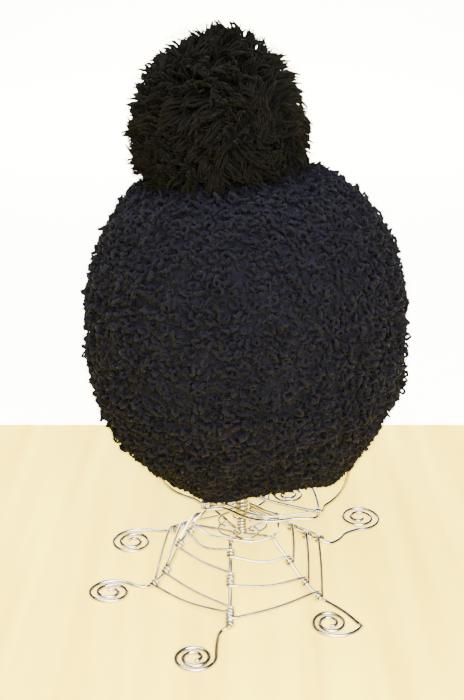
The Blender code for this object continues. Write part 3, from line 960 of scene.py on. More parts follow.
    def build_rim(self) -> None:
        """Makes the loops that roll round the rim from its outer to its inner edge."""
        rng = np.random.default_rng(SEED + 3)
        count = self.rim_loops
        turn = (np.arange(count) + rng.normal(0, 0.3, count)) / count
        outer = self.surface.at(turn, np.zeros(count))
        inner = self.surface.at(turn, np.zeros(count), Side.INSIDE)
        level, _, _ = self.surface.axes(turn, np.full(count, 0.01))
        middle = outer * 0.5 + inner * 0.5
        middle[:, 2] += self.rim_lift
        heading = rng.uniform(-self.rim_headings, self.rim_headings, count)
        across = unit(swung(heading, unit(outer - inner), level))
        size = rng.uniform(*self.rim_sizes, count)[:, None]
        shares = np.linspace(0, 1, self.loop_steps)[None, :]
        angle = math.pi * (1.15 * shares - 0.08) + rng.normal(0, 0.25, count)[:, None]
        curve = swung(angle, across[:, None], -np.array(UP))
        drift = rng.normal(0, self.rim_wobble, (count, self.loop_steps, 3))
        paths = middle[:, None] + curve * size[..., None] + drift
        thick = self.strand_radius * rng.uniform(*self.rim_widths, (count, 1))
        strands = Strands()
        spin = rng.uniform(0, self.spins, count)
        strands.add_tubes(paths, thick * (0.75 + 0.25 * np.sin(math.pi * shares)), self.loop_sides, spin)
        strands.make("rim_loops", self.finish)

    def build_lining(self) -> None:
        """Makes loops on the inner side, close together by the rim and sparse above it."""
        rng = np.random.default_rng(SEED + 4)
        count = self.lining_loops
        share = 0.012 + self.lining_reach * rng.uniform(0, 1, count) ** 1.6
        turn = rng.uniform(0, 1, count)
        paths, radii = self.loop_paths(turn, share, Side.INSIDE, SEED + 5)
        strands = Strands()
        spin = rng.uniform(0, self.spins, count)
        strands.add_tubes(paths, radii * self.lining_width, self.loop_sides, spin)
        strands.make("lining_loops", self.finish)

    def build_fuzz(self) -> None:
        """Makes the fine stray fibres that stand out of the yarn all over the cap."""
        rng = np.random.default_rng(SEED + 6)
        turn = rng.uniform(0, 1, self.hairs)
        share = 1 - np.sqrt(1 - rng.uniform(0, 0.985, self.hairs))
        low = rng.uniform(0, 1, self.hairs) < self.low_hair_share
        share = np.where(low, rng.uniform(0.0, self.low_hair_top, self.hairs), share)
        axes = self.surface.axes(turn, share)
        strands = Strands()
        self.hair.grow(strands, rng, self.surface.raised(turn, share) - axes[2] * self.hair_sink, axes)
        # The fuzz takes the lighter copy of the yarn, whose colour is painted backlight.
        strands.make("knit_fuzz", self.fuzz_backlight_finish)

    def build_nap(self) -> None:
        """Makes the short soft fibres that lie over the loops and blur them."""
        rng = np.random.default_rng(SEED + 7)
        turn = rng.uniform(0, 1, self.nap_fibres)
        share = rng.uniform(0.0, self.nap_top, self.nap_fibres)
        axes = self.surface.axes(turn, share)
        depth = rng.uniform(*self.nap_sinks, self.nap_fibres)[:, None]
        strands = Strands()
        self.nap.grow(strands, rng, self.surface.raised(turn, share) - axes[2] * depth, axes)
        strands.make("knit_nap", self.nap_finish)


@dataclass
class Pompom:
    """The pompom: a dense dome of cut yarn locks over a dark core."""

    finish: YarnFinish
    centre: Vector
    half_width: float
    rise: float
    floor: float
    drop: float = 34 * MM
    fullness: float = 2.2
    lowest: float = -0.42
    way_spread: float = 0.06
    core_share: float = 0.74
    core_rows: int = 28
    core_turns: int = 48
    core_lumps: float = 0.05
    locks: int = 1200
    strands_each: int = 4
    lock_length: float = 22 * MM
    lock_lengths: tuple = (0.75, 1.2)
    lock_radius: float = 2.5 * MM
    lock_radii: tuple = (0.65, 1.25)
    lock_flatness: float = 0.6
    lock_steps: int = 6
    lock_sides: int = 4
    tip_share: float = 0.95
    tip_tufts: float = 0.035
    tip_spread: float = 0.016
    strand_radius: float = 1.0 * MM
    strand_radii: tuple = (0.75, 1.25)
    strand_lengths: tuple = (0.85, 1.03)
    strand_wobble: float = 0.22 * MM
    whorl: float = 0.85
    whorl_spread: float = 0.5
    sag: float = 0.25
    curl: float = 2.2 * MM
    curl_turn: float = 4.5
    spins: float = 40.0
    hairs: int = 6000
    lowest_hair: float = -0.4
    hair_roots: tuple = (0.8, 0.97)
    hair: Hairs = Hairs(length=9 * MM, width=0.22 * MM, upright=(0.0, 0.9))

    @classmethod
    def from_frame(cls, finish: YarnFinish, centre_height: float = 325 * MM) -> "Pompom":
        """Sizes a pompom that fills the box of its solid.

        Args:
            finish: The yarn's finish.
            centre_height: The height of the point from which its locks spread.

        Returns:
            The pompom.
        """
        low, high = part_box("pompom")
        centre = Vector(((low.x + high.x) / 2, (low.y + high.y) / 2, centre_height))
        return cls(finish, centre, (high.x - low.x) / 2, high.z - centre.z, low.z)

    def reach(self, ways: np.ndarray) -> np.ndarray:
        """Works out how far the locks' tips lie from the centre.

        Args:
            ways: The directions.

        Returns:
            The distances.
        """
        level = np.hypot(ways[:, 0], ways[:, 1]) / self.half_width
        upright = np.abs(ways[:, 2]) / np.where(ways[:, 2] > 0, self.rise, self.drop)
        return (level**self.fullness + upright**self.fullness) ** (-1 / self.fullness)

    def spread_ways(self, rng: np.random.Generator, count: int, lowest: float) -> np.ndarray:
        """Spreads directions over the dome, a little unevenly.

        Args:
            rng: The source of their unevenness.
            count: How many there are.
            lowest: The lowest height, where the crown is 1.

        Returns:
            The directions.
        """
        heights = 1 - (1 - lowest) * (np.arange(count) + 0.5) / count
        angles = np.arange(count) * GOLDEN_ANGLE
        flat = np.sqrt(1 - heights**2)
        even = np.stack([flat * np.cos(angles), flat * np.sin(angles), heights], axis=1)
        return unit(even + rng.normal(0, self.way_spread, even.shape))

    def build(self) -> None:
        """Builds the core, the locks and the stray fibres."""
        self.build_core()
        self.build_locks()
        self.build_fuzz()

    def build_core(self) -> None:
        """Makes the dark bound middle that the locks grow from."""
        heights = np.linspace(-0.999, 0.999, self.core_rows)
        angles = math.tau * np.arange(self.core_turns) / self.core_turns
        height, angle = np.meshgrid(heights, angles, indexing="ij")
        flat = np.sqrt(1 - height**2)
        ways = np.stack([flat * np.cos(angle), flat * np.sin(angle), height], axis=-1)
        far = self.reach(ways.reshape(-1, 3)).reshape(height.shape)
        lumps = 1 + self.core_lumps * np.sin(9 * angle + 14 * height) * flat
        points = np.array(self.centre) + ways * (far * self.core_share * lumps)[..., None]
        points[..., 2] = np.maximum(points[..., 2], self.floor)
        strands = Strands()
        strands.add_grid(points[None], True, np.linspace(0, 9, self.core_rows)[None], np.zeros(1))
        strands.make("pompom_core", self.finish, "pompom")

    def lean_of(self, ways: np.ndarray, rng: np.random.Generator) -> np.ndarray:
        """Leans the locks in whorls that neighbours share, with some unevenness and a little sag.

        Args:
            ways: The locks' directions.
            rng: The source of their unevenness.

        Returns:
            How far each lock leans, square to its direction.
        """
        x, y, z = ways.T
        swirl_x = np.sin(4.1 * y + 2.3 * z + 0.4)
        swirl_y = np.sin(3.7 * z - 3.1 * x + 1.7)
        swirl_z = np.sin(4.6 * x + 2.9 * y + 0.9)
        swirl = np.stack([swirl_x, swirl_y, swirl_z], axis=1)
        lean = self.whorl * swirl + rng.normal(0, self.whorl_spread, ways.shape)
        lean[:, 2] -= self.sag
        return lean - np.sum(lean * ways, axis=1, keepdims=True) * ways

    def bundle(
        self, rng: np.random.Generator, core: np.ndarray, level: np.ndarray, other: np.ndarray
    ) -> tuple[list, list]:
        """Works out the strands of each lock, which spread from its root and meet at its tip.

        Args:
            rng: The source of their unevenness.
            core: The locks' middle lines.
            level: A direction across each lock.
            other: The direction across it that is square to the first.

        Returns:
            The paths and the radii, with a row for each strand of a lock.
        """
        share = np.linspace(0, 1, self.lock_steps)[None, :]
        paths, radii = [], []
        for strand in range(self.strands_each):
            angle = math.tau * strand / self.strands_each + rng.normal(0, 0.35, self.locks)
            spread = self.lock_radius * rng.uniform(*self.lock_radii, self.locks)[:, None]
            leaf = np.sin(math.pi * (share * 0.5 + 0.1)) * (1 - 0.25 * share)
            bend = rng.uniform(0, math.tau, self.locks)[:, None] + self.curl_turn * share
            curl = self.curl * share * rng.uniform(0.2, 1.0, self.locks)[:, None]
            sway = swung(bend, level[:, None], other[:, None]) * curl[..., None]
            aside = swung(angle, level, self.lock_flatness * other)[:, None] * (spread * leaf)[..., None]
            end = rng.uniform(*self.strand_lengths, self.locks)[:, None, None]
            path = core[:, :1] + (core - core[:, :1]) * end + aside + sway
            paths.append(path + rng.normal(0, self.strand_wobble, path.shape))
            thick = self.strand_radius * rng.uniform(*self.strand_radii, self.locks)[:, None]
            radii.append(thick * np.sqrt(np.clip(1.06 - share**4, 0.12, 1)))
        return paths, radii

    def build_locks(self) -> None:
        """Makes the pointed locks of cut yarn, in two pieces."""
        rng = np.random.default_rng(SEED + 10)
        ways = self.spread_ways(rng, self.locks, self.lowest)
        heading = unit(ways + self.lean_of(ways, rng))
        upright = np.sum(heading * ways, axis=1)
        length = self.lock_length * rng.uniform(*self.lock_lengths, self.locks)
        x, y, z = ways.T
        tufts = np.sin(6.3 * x + 3.1 * z + 0.8) * np.sin(5.2 * y - 4.4 * z + 2.1)
        spread = rng.normal(0, self.tip_spread, self.locks)
        tips = self.reach(ways) * (self.tip_share + self.tip_tufts * tufts + spread)
        root = ways * (tips - length * (0.45 + 0.45 * upright))[:, None]
        shares = np.linspace(0, 1, self.lock_steps)[None, :, None]
        run = ways[:, None] * 0.9 * shares + (heading - ways)[:, None] * 0.85 * shares**1.5
        core = np.array(self.centre) + root[:, None] + run * length[:, None, None]
        level = unit(np.cross(heading, rng.normal(0, 1, ways.shape)))
        bundle_paths, bundle_radii = self.bundle(rng, core, level, np.cross(heading, level))
        half = self.locks // 2
        for number, part in enumerate((slice(0, half), slice(half, None)), start=1):
            paths = np.concatenate([paths[part] for paths in bundle_paths])
            radii = np.concatenate([radii[part] for radii in bundle_radii])
            strands = Strands()
            strands.add_tubes(paths, radii, self.lock_sides, rng.uniform(0, self.spins, len(paths)))
            strands.make(f"pompom_locks_{number}", self.finish)

    def build_fuzz(self) -> None:
        """Makes the fine fibres that stray out of the locks."""
        rng = np.random.default_rng(SEED + 11)
        ways = self.spread_ways(rng, self.hairs, self.lowest_hair)
        depth = self.reach(ways) * rng.uniform(*self.hair_roots, self.hairs)
        level = unit(np.cross(ways, np.array([0.1, 0.2, 1.0])))
        strands = Strands()
        base = np.array(self.centre) + ways * depth[:, None]
        self.hair.grow(strands, rng, base, (level, np.cross(ways, level), ways))
        strands.make("pompom_fuzz", self.finish)


def around(azimuth: float, radius: float, height: float, centre_x: float = 0.0) -> Vector:
    """A point at an azimuth in degrees, a radius and a height."""
    angle = math.radians(azimuth)
    return Vector((centre_x + radius * math.cos(angle), radius * math.sin(angle), height))


def outward_from_axis(point: Vector) -> Vector:
    """The level direction from the stand's axis to a point."""
    return Vector((point.x, point.y, 0)).normalized()


def spline_point(points: list[Vector], position: float, closed: bool = False) -> Vector:
    """Finds a point of a Catmull-Rom spline.

    Args:
        points: The points that it passes.
        position: How far along, where 1 is the second point.
        closed: Whether the spline is a ring.

    Returns:
        The point.
    """
    count = len(points)
    index = min(int(position), count - 1 if closed else count - 2)
    share = position - index
    if closed:
        before, first, second, after = (points[(index + k) % count] for k in (-1, 0, 1, 2))
    else:
        first, second = points[index], points[index + 1]
        before = points[index - 1] if index > 0 else first * 2 - second
        after = points[index + 2] if index + 2 < count else second * 2 - first
    return 0.5 * (
        first * 2
        + (second - before) * share
        + (before * 2 - first * 5 + second * 4 - after) * share**2
        + (first * 3 - before - second * 3 + after) * share**3
    )


def smooth_path(points: list[Vector], steps: int, closed: bool = False) -> list[Vector]:
    """Lays a spline through points.

    Args:
        points: The points that it passes.
        steps: The steps between two of them.
        closed: Whether the spline is a ring.

    Returns:
        The spline's points.
    """
    spans = len(points) if closed else len(points) - 1
    path = [spline_point(points, k / steps, closed) for k in range(spans * steps)]
    return path + [path[0] if closed else points[-1]]


@dataclass(frozen=True)
class Slope:
    """The slope of a leg, from its top by the hub ring to its lower bend, bulging a little on its way."""

    top_azimuth: float
    top_radius: float
    top_height: float
    foot_azimuth: float
    upper_rise: float
    lower_rise: float
    foot_radius: float = 71.5
    foot_height: float = 4.2

    def at(self, share: float) -> Vector:
        """Finds a point of the slope.

        Args:
            share: How far down it, from 0 at its top to 1 at its lower bend.

        Returns:
            The point in millimetres.
        """
        top = around(self.top_azimuth, self.top_radius, self.top_height)
        foot = around(self.foot_azimuth, self.foot_radius, self.foot_height)
        rises = (0, self.upper_rise, self.lower_rise, 0)
        points = [top.lerp(foot, k / 3) + UP * rise for k, rise in enumerate(rises)]
        return spline_point(points, min(max(share, 0.0), 1.0) * 3)

    def axes(self, share: float) -> tuple[Vector, Vector, Vector]:
        """Finds the slope's directions.

        Args:
            share: How far down it.

        Returns:
            The directions along the slope, level across it and out of it.
        """
        along = (self.at(share + 0.02) - self.at(share - 0.02)).normalized()
        across = UP.cross(along).normalized()
        return along, across, along.cross(across)


@dataclass(frozen=True)
class Spiral:
    """The flat spiral at a leg's end: its middle, where the wire runs in, its size and its way round."""

    x: float
    y: float
    start_angle: float
    start_radius: float
    radius: float
    squash: float
    way_round: int
    turns: float = 2.2
    eye_radius: float = 3.4
    ease: float = 1.2
    settling: float = 100.0
    steps: int = 62

    def at(self, share: float, height: float) -> Vector:
        """Finds a point of the spiral.

        Args:
            share: How far along it, from 0 where the leg runs in to 1 at the eye.
            height: The point's height.

        Returns:
            The point in millimetres.
        """
        turned = 360 * self.turns * share
        settling = max(0.0, 1 - turned / self.settling)
        radius = self.radius - (self.radius - self.eye_radius) * share**self.ease
        radius += (self.start_radius - self.radius) * settling**2
        spot = around(self.start_angle + self.way_round * turned, radius, height)
        return Vector((self.x + spot.x, self.y + spot.y * self.squash, spot.z))

    def path(self, height: float) -> list[Vector]:
        """All the spiral's points at a height."""
        return [self.at(k / self.steps, height) for k in range(self.steps + 1)]


@dataclass(frozen=True)
class Leg:
    """A leg: its slope, its bends on the table and the spiral at its end."""

    slope: Slope
    bends: tuple
    spiral: Spiral


@dataclass(frozen=True)
class Rib:
    """A rib of the cage: its azimuth, and its knot on the neck ring if it has one."""

    azimuth: float
    knot: tuple | None


@dataclass(frozen=True)
class WebTurn:
    """A turn of the web: how far down the legs it is tied, how its spans sag and how often it is wound.

    It starts on the first leg, passes the others and closes on the first one again. The first turn runs in
    from the last leg, at a share of its slope and with a sag of its own.
    """

    start_share: float
    share: float
    closing_share: float
    front_sag: float
    closing_sag: float
    closing_wraps: float = 2.0
    run_in: tuple | None = None


@dataclass(frozen=True)
class Coil:
    """A coil round the post: its lowest and highest points, its radius, its wire and its pitch."""

    low: float
    high: float
    radius: float
    wire: float
    pitch: float
    steps: int = 22

    def path(self) -> list[Vector]:
        """Winds the coil.

        Returns:
            Its points in millimetres.
        """
        height = self.high - self.low
        turned = 360 * height / self.pitch
        count = int(height / self.pitch * self.steps)
        shares = [k / count for k in range(count + 1)]
        return [around(turned * share, self.radius, self.low + height * share) for share in shares]


@dataclass(frozen=True)
class Binding:
    """A binding of fine wire round two wires that cross: its wire, half width, half height and turns."""

    wire: float
    half_width: float
    half_height: float
    pitch: float
    turns: int
    steps: int

    def path(self, middle: Vector, along: Vector, across: Vector, outward: Vector) -> list[Vector]:
        """Winds the binding.

        Args:
            middle: Its middle.
            along: The direction in which its turns follow each other.
            across: The direction of its half width.
            outward: The direction of its half height.

        Returns:
            Its points in millimetres.
        """
        points = []
        for k in range(self.turns * self.steps + 1):
            turned = k / self.steps
            aside = across * math.cos(math.tau * turned) * self.half_width
            out = outward * math.sin(math.tau * turned) * self.half_height
            points.append(middle + aside + out + along * self.pitch * (turned - self.turns / 2))
        return points


@dataclass
class WireStand:
    """The stand, in millimetres: six legs with spiral feet, a web, a bound post, a neck ring and ribs."""

    surface: CapSurface
    finish: WireFinish
    rib_shade_finish: WireFinish
    leg_wire: float = 3.2
    web_wire: float = 2.4
    rib_wire: float = 2.6
    gap: float = 0.25
    sides: int = 11
    end_length: float = 0.22
    end_width: float = 0.62
    legs: tuple = (
        Leg(
            Slope(-113, 21, 38.5, -97, -0.5, -2.5),
            ((-15.5, -76.0), (-17.5, -86.0)),
            Spiral(-33.0, -100.5, 0, 15.0, 14.3, 0.86, -1),
        ),
        Leg(
            Slope(-34, 27.5, 38.5, -36, -1, -3),
            ((62.0, -42.0), (75.0, -54.5)),
            Spiral(63.0, -66.0, -9, 22.5, 13.6, 0.96, -1),
        ),
        Leg(
            Slope(20, 28, 39, 25, -1, -2.5),
            ((72.0, 28.7), (80.0, 33.5), (86.5, 42.0)),
            Spiral(100.5, 65.0, -100, 18.8, 17.2, 0.93, 1),
        ),
        Leg(
            Slope(80, 26, 39, 83, -1, -2.5),
            ((10.5, 77.5), (17.5, 84.5)),
            Spiral(41.0, 99.5, -160, 17.5, 15.0, 0.9, -1),
        ),
        Leg(
            Slope(140, 29, 41, 143, 0, -2.5),
            ((-66.0, 45.5), (-74.5, 47.0)),
            Spiral(-88.0, 31.0, 76, 17.2, 16.4, 0.92, 1),
        ),
        Leg(
            Slope(197, 36, 46, 202, 3.5, -3.5),
            ((-71.0, -25.3), (-77.5, -25.5)),
            Spiral(-98.5, -31.9, 52, 18.3, 16.6, 0.76, 1),
        ),
    )
    leg_start_radius: float = 3.6
    leg_start_height: float = 33.0
    leg_steps: int = 8
    post_wires: int = 6
    post_wire: float = 1.55
    post_foot: tuple = (1.6, 30.8)
    post_head: tuple = (1.9, 73.2)
    coils: tuple = (Coil(30.9, 46.6, 2.85, 2.1, 2.7), Coil(48.7, 72.6, 4.35, 2.6, 3.3))
    web_turns: tuple = (
        WebTurn(0.16, 0.36, 0.43, 4.2, 1.8, run_in=(0.10, 6.0)),
        WebTurn(0.49, 0.68, 0.83, 3.0, 1.8),
        WebTurn(0.90, 0.96, 0.955, 2.0, 3.2, closing_wraps=4.0),
    )
    web_sag: float = 1.2
    wraps: float = 2.0
    wrap_steps: int = 13
    wrap_pitch: float = 1.05
    wrap_gap: float = 0.02
    curls: int = 5
    curl_steps: int = 260
    curl_wire: float = 2.0
    curl_radius: float = 5.6
    curl_reach: float = 13.5
    curl_height: float = 40.6
    hub_share: float = 0.02
    hub_bow: float = 2.6
    hub_sag: float = 2.2
    hub_binding: Binding = Binding(wire=1.1, half_width=2.2, half_height=3.2, pitch=1.3, turns=2, steps=18)
    neck_front: tuple = ((-12.5, -6.0, 58.5), (3.0, -16.5, 58.0), (20.0, -21.0, 57.5), (38.0, -17.0, 57.0))
    neck_back: tuple = ((15.0, 46.0, 59.5),)
    neck_drop: float = 2.6
    second_neck_wire: float = 1.9
    second_neck_end: tuple = (0.6, 2.2, 1.6)
    second_neck_bow: tuple = (0.0, 3.2, -0.8)
    neck_binding: Binding = Binding(wire=1.3, half_width=2.2, half_height=3.3, pitch=1.35, turns=3, steps=20)
    ribs: tuple = (
        Rib(-7.5, (57.5, -11.0, 59.5)),
        Rib(52.5, (50.0, 38.0, 61.0)),
        Rib(127.5, (-20.0, 40.0, 61.5)),
        Rib(187.5, (-28.7, -3.5, 61.5)),
        Rib(240, None),
        Rib(300, None),
    )
    rib_start_radius: float = 5.4
    rib_start_height: float = 68.0
    rib_points: int = 15
    rib_top_share: float = 0.955
    free_rib_share: float = 0.16
    rib_dip: float = 1.5
    rib_swell: tuple = ((0.22, 0.10), (0.48, 0.19), (0.72, 0.31), (0.91, 0.50), (1.01, 0.74))
    rib_rise: tuple = ((18.0, 78.0), (37.0, 93.0), (54.0, 110.0))
    rib_rise_centre_x: float = 4.0
    rib_clearance: float = 1.2
    boss_wire: float = 1.7
    boss_eye: float = 1.2
    boss_reach: float = 4.7
    boss_turned: float = 1260.0
    boss_steps: int = 99

    def wire(self, strands: Strands, path: list[Vector], width: float, closed: bool = False) -> None:
        """Adds a round wire, with rounded ends unless it is a ring.

        Args:
            strands: Where it goes.
            path: Its points in millimetres.
            width: Its diameter in millimetres.
            closed: Whether it is a ring.
        """
        points = np.array([list(point) for point in path]) * MM
        radii = np.full(len(points), width / 2 * MM)
        if not closed:
            length = width * self.end_length * MM
            start = points[0] - unit(points[1] - points[0]) * length
            end = points[-1] + unit(points[-1] - points[-2]) * length
            points = np.concatenate([[start], points, [end]])
            radii = np.concatenate([radii[:1] * self.end_width, radii, radii[:1] * self.end_width])
        strands.add_tubes(points[None], radii[None], self.sides, closed=closed)

    def single(self, name: str, path: list[Vector], width: float, dull: bool = False) -> None:
        """Makes one wire a piece of its own, which stands for the node of its name.

        Args:
            name: The node's name.
            path: The wire's points in millimetres.
            width: Its diameter in millimetres.
            dull: Whether it takes the ribs' darker finish, whose colour is painted shade.
        """
        strands = Strands()
        self.wire(strands, path, width)
        strands.make(f"{name}_wire", self.rib_shade_finish if dull else self.finish, name)

    def build(self) -> None:
        """Builds every wire of the stand."""
        self.build_legs()
        self.build_post()
        self.build_web()
        self.build_hub()
        self.build_neck()
        self.build_ribs()
        self.build_boss()

    def build_legs(self) -> None:
        """Makes each leg's one wire, from the post down its slope and into its spiral foot."""
        height = self.leg_wire / 2
        for number, leg in enumerate(self.legs, start=1):
            start = around(leg.slope.top_azimuth, self.leg_start_radius, self.leg_start_height)
            run = [start, start.lerp(leg.slope.at(0), 0.5) + UP * 0.6]
            run += [leg.slope.at(k / self.leg_steps) for k in range(self.leg_steps + 1)]
            run += [Vector((x, y, height)) for x, y in leg.bends]
            spiral = leg.spiral.path(height)
            path = smooth_path(run + spiral[:1], 5)[:-1] + spiral
            self.single(f"leg_{number}", path, self.leg_wire)

    def build_post(self) -> None:
        """Makes the post: a bundle of straight wires bound by a narrow coil below and a wide one above."""
        strands = Strands()
        for k in range(self.post_wires):
            azimuth = 360 / self.post_wires * (k + 0.5)
            foot, head = around(azimuth, *self.post_foot), around(azimuth, *self.post_head)
            self.wire(strands, [foot.lerp(head, n / 6) for n in range(7)], self.post_wire)
        for coil in self.coils:
            self.wire(strands, coil.path(), coil.wire)
        strands.make("post_wires", self.finish, "post")

    def wrap(self, leg: Leg, share: float, turns: float) -> list[Vector]:
        """Winds close turns of the web wire round a leg, entering and leaving over its outer side.

        Args:
            leg: The leg.
            share: How far down its slope the turns lie.
            turns: How many there are.

        Returns:
            The wire's points in millimetres.
        """
        here = leg.slope.at(share)
        along, across, outward = leg.slope.axes(share)
        pitch = self.web_wire * self.wrap_pitch
        lift = (self.leg_wire + self.web_wire) / 2 + self.wrap_gap
        points = []
        steps = int(turns * self.wrap_steps)
        for k in range(steps + 1):
            turned = turns * k / steps
            angle = math.pi / 2 - math.tau * turned
            offset = lift * (math.cos(angle) * across + math.sin(angle) * outward)
            points.append(here + offset + along * pitch * (turned - turns / 2))
        return points

    def build_web(self) -> None:
        """Makes the web between the legs: turns of thinner wire, wound round every leg that they meet."""
        for number, turn in enumerate(self.web_turns, start=1):
            stops = [(self.legs[0], turn.start_share, self.wraps)]
            stops += [(leg, turn.share, self.wraps) for leg in self.legs[1:]]
            stops.append((self.legs[0], turn.closing_share, turn.closing_wraps))
            sags = [turn.front_sag] + [self.web_sag] * (len(self.legs) - 2) + [turn.closing_sag]
            if turn.run_in:
                share, sag = turn.run_in
                stops.insert(0, (self.legs[-1], share, self.wraps))
                sags.insert(0, sag)
            knots = [self.wrap(*stop) for stop in stops]
            path = []
            for knot, following, sag in zip(knots, knots[1:], sags):
                middle = knot[-1].lerp(following[0], 0.5)
                bow = middle + (outward_from_axis(middle) - UP) * sag * math.sqrt(0.5)
                span = smooth_path([knot[-1], bow, following[0]], 7)
                path += knot + span[1:-1]
            self.single(f"web_turn_{number}", path + knots[-1], self.web_wire)

    def build_hub(self) -> None:
        """Makes the ring over the legs' tops, a binding of fine wire at each leg, and the curls in it."""
        lift = (self.leg_wire + self.web_wire) / 2 + self.gap
        crossings = []
        for leg in self.legs:
            _, _, outward = leg.slope.axes(self.hub_share)
            crossings.append(leg.slope.at(0.0) + UP.lerp(outward, 0.5).normalized() * lift)
        points = []
        for first, second in zip(crossings, crossings[1:] + crossings[:1]):
            middle = first.lerp(second, 0.5)
            points += [first, middle + outward_from_axis(middle) * self.hub_bow - UP * self.hub_sag]
        strands = Strands()
        self.wire(strands, smooth_path(points, 10, closed=True), self.web_wire, closed=True)
        for leg, crossing in zip(self.legs, crossings):
            middle = leg.slope.at(0.0).lerp(crossing, 0.5)
            path = self.hub_binding.path(middle, *leg.slope.axes(self.hub_share))
            self.wire(strands, path, self.hub_binding.wire)
        self.wire(strands, self.curl_path(), self.curl_wire)
        strands.make("hub_ring_wires", self.finish, "hub_ring")

    def curl_path(self) -> list[Vector]:
        """Lays the curls of wire between the post and the hub ring, which rest on the legs' tops.

        Returns:
            The wire's points in millimetres.
        """
        path = []
        for k in range(self.curl_steps + 1):
            turned = 360 * k / self.curl_steps
            curl = around(turned * (self.curls + 1), self.curl_radius, 0.0)
            path.append(around(turned, self.curl_reach, self.curl_height) + curl)
        return path

    def build_neck(self) -> None:
        """Makes the neck ring of two wires side by side, and the bindings that tie the ribs to it."""
        knotted = [rib for rib in self.ribs if rib.knot]
        right, back_right, back_left, left = (Vector(rib.knot) - UP * self.neck_drop for rib in knotted)
        front = [left, *(Vector(point) for point in self.neck_front), right]
        ring = [*front, back_right, *(Vector(point) for point in self.neck_back), back_left]
        strands = Strands()
        self.wire(strands, smooth_path(ring, 12, closed=True), self.rib_wire, closed=True)
        end, bow = Vector(self.second_neck_end), Vector(self.second_neck_bow)
        second = [point + end + bow * math.sin(math.pi * k / 5) for k, point in enumerate(front)]
        self.wire(strands, smooth_path(second, 10), self.second_neck_wire)
        for rib in knotted:
            along = around(rib.azimuth, 1.0, 0.0)
            middle = Vector(rib.knot) - UP * (self.neck_drop / 2)
            path = self.neck_binding.path(middle, along, UP.cross(along), UP)
            self.wire(strands, path, self.neck_binding.wire)
        strands.make("neck_ring_wires", self.finish, "neck_ring")

    def build_ribs(self) -> None:
        """Makes the cage's ribs, one bent wire each, from the post up the inside of the cap."""
        for number, rib in enumerate(self.ribs, start=1):
            turn = np.full(self.rib_points, (rib.azimuth % 360) / 360)
            lowest = 0.0 if rib.knot else self.free_rib_share
            share = np.linspace(lowest, self.rib_top_share, self.rib_points)
            points = self.surface.at(turn, share, Side.INSIDE)
            _, _, outward = self.surface.axes(turn, share, Side.INSIDE)
            points = (points - outward * (self.rib_clearance + self.rib_wire / 2) * MM) / MM
            wall = [Vector(point) for point in points]
            lower = [around(rib.azimuth, self.rib_start_radius, self.rib_start_height)]
            if rib.knot:
                knot = Vector(rib.knot)
                way = wall[0] - knot
                lower += [lower[0].lerp(knot, 0.45) - UP * self.rib_dip, knot]
                swell = (Vector((way.x * out, way.y * out, way.z * up)) for out, up in self.rib_swell)
                lower += [knot + offset for offset in swell]
            else:
                rise = ((radius, height, self.rib_rise_centre_x) for radius, height in self.rib_rise)
                lower += [around(rib.azimuth, *place) for place in rise]
            # The ribs take the darker wire finish, whose colour is painted shade.
            self.single(f"rib_{number}", smooth_path(lower + wall, 6), self.rib_wire, dull=True)

    def build_boss(self) -> None:
        """Makes the small flat coil under the crown that the ribs' ends meet."""
        low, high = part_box("crown_boss")
        middle = (low + high) / 2 / MM
        path = []
        for k in range(self.boss_steps + 1):
            share = k / self.boss_steps
            radius = self.boss_eye + self.boss_reach * share
            path.append(middle + around(self.boss_turned * share, radius, 0.0))
        self.single("crown_boss", path, self.boss_wire)


@dataclass(frozen=True)
class Lamp:
    """A soft square lamp: its place, what it faces, the length of its side, its watts and its colour."""

    name: str
    place: tuple
    aim: tuple
    size: float
    power: float
    colour: tuple

    def hang(self) -> None:
        """Adds the lamp to the scene."""
        data = bpy.data.lights.new(self.name, "AREA")
        data.size = self.size
        data.energy = self.power
        data.color = self.colour
        lamp = bpy.data.objects.new(self.name, data)
        lamp.location = self.place
        lamp.rotation_mode = "QUATERNION"
        lamp.rotation_quaternion = (Vector(self.aim) - Vector(self.place)).to_track_quat("-Z", "Y")
        bpy.context.scene.collection.objects.link(lamp)


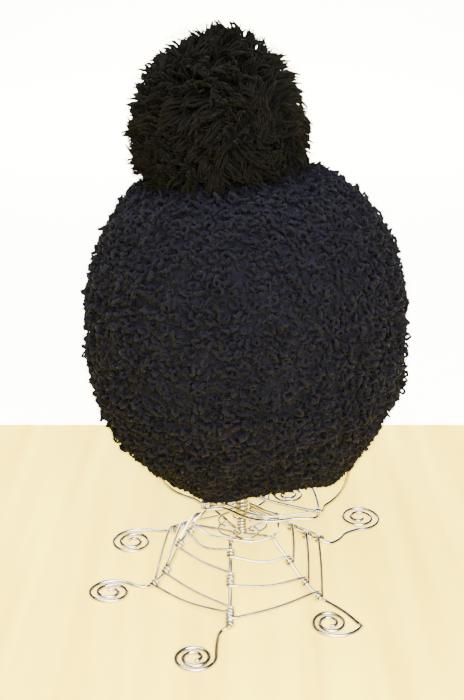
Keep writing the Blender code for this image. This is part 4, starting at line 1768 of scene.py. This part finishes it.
@dataclass
class Studio:
    """The plain setting: a pale table, a white wall, soft lamps and the camera."""

    table: PaleFinish = PALE_TABLE
    wall: PaleFinish = WHITE_WALL
    backdrop_glow: float = 13.0
    backdrop_height: float = 0.5 * MM
    wall_distance: float = 1.7
    wall_side: float = 0.8
    wall_height: float = 0.7
    table_edge: float = 0.231
    table_side: float = 3.0
    lamps: tuple = (
        Lamp("lamp_above", (-0.3, -0.25, 1.35), (0, 0, 0.1), size=1.0, power=40.0, colour=(1.0, 0.97, 0.92)),
        Lamp("lamp_front", (0.25, -1.2, 0.95), (0, 0, 0.15), size=1.1, power=88.0, colour=(0.98, 0.98, 1.0)),
    )
    horizon: tuple = (0.34, 0.325, 0.31)
    overhead: tuple = (0.05, 0.05, 0.055)
    horizon_share: float = 0.28
    overhead_share: float = 0.55
    room_strength: float = 1.0
    camera_place: tuple = (-7.2 * MM, -575.1 * MM, 443.8 * MM)
    camera_pitch: float = 24.1
    lens: float = 46.3
    sensor: float = 36.0

    def plane(self, name: str, side: float, start: tuple, end: tuple, finish: PaleFinish) -> None:
        """Adds a flat sheet of the setting, as wide to the left of the stand as to its right.

        Args:
            name: The sheet's name.
            side: How far it reaches to each side.
            start: Where its first edge lies, as a distance behind the stand's middle and a height.
            end: Where its last edge lies.
            finish: Its finish.
        """
        corners = [(-side, *start), (side, *start), (side, *end), (-side, *end)]
        mesh = bpy.data.meshes.new(name)
        mesh.from_pydata(corners, [], [(0, 1, 2, 3)])
        mesh.materials.append(finish.make())
        sheet = bpy.data.objects.new(name, mesh)
        bpy.context.scene.collection.objects.link(sheet)
        sheet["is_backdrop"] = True

    def build(self) -> None:
        """Builds the setting."""
        bright = replace(self.wall, name="white_floor", glow=self.backdrop_glow)
        near, far = self.table_edge, self.wall_distance
        low, high = self.backdrop_height, self.wall_height
        self.plane("table", self.table_side, (-self.table_side, 0), (self.table_side, 0), self.table)
        self.plane("backdrop", self.wall_side, (near, low), (far, low), bright)
        self.plane("wall", self.wall_side, (far, low), (far, high), self.wall)
        for lamp in self.lamps:
            lamp.hang()
        self.build_room()
        self.build_camera()

    def build_room(self) -> None:
        """Makes the room's light: bright round the horizon and dim overhead."""
        world = bpy.data.worlds.new("soft_room")
        world.use_nodes = True
        tree = world.node_tree
        place = tree.nodes.new("ShaderNodeTexCoord")
        split = tree.nodes.new("ShaderNodeSeparateXYZ")
        ramp = tree.nodes.new("ShaderNodeValToRGB")
        ramp.color_ramp.elements[0].position = self.horizon_share
        ramp.color_ramp.elements[0].color = (*self.horizon, 1.0)
        ramp.color_ramp.elements[1].position = self.overhead_share
        ramp.color_ramp.elements[1].color = (*self.overhead, 1.0)
        tree.links.new(place.outputs["Generated"], split.inputs["Vector"])
        tree.links.new(split.outputs["Z"], ramp.inputs["Fac"])
        tree.links.new(ramp.outputs["Color"], tree.nodes["Background"].inputs["Color"])
        tree.nodes["Background"].inputs["Strength"].default_value = self.room_strength
        bpy.context.scene.world = world

    def build_camera(self) -> None:
        """Places the camera, a little above the cap and looking down at it."""
        data = bpy.data.cameras.new("camera")
        data.sensor_width = self.sensor
        data.lens = self.lens
        camera = bpy.data.objects.new("camera", data)
        camera.location = self.camera_place
        camera.rotation_euler = (math.radians(90 - self.camera_pitch), 0, 0)
        bpy.context.scene.collection.objects.link(camera)
        bpy.context.scene.camera = camera


def main() -> None:
    """Builds the setting, the stand, the cap and the pompom in that order."""
    logging.basicConfig(level=logging.INFO, format="%(name)s: %(message)s")
    Studio().build()
    surface = CapSurface(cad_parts["cap_body"])
    WireStand(surface, BRIGHT_WIRE, SHADED_RIB_WIRE).build()
    KnitCap(surface, KNIT_YARN, FUZZ_PAINTED_BACKLIGHT, SOFT_NAP).build()
    Pompom.from_frame(POMPOM_YARN).build()
    triangles = sum(len(piece.data.loops) - 2 * len(piece.data.polygons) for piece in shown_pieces())
    LOG.info("triangles in all: %d", triangles)


if __name__ == "__main__":
    main()
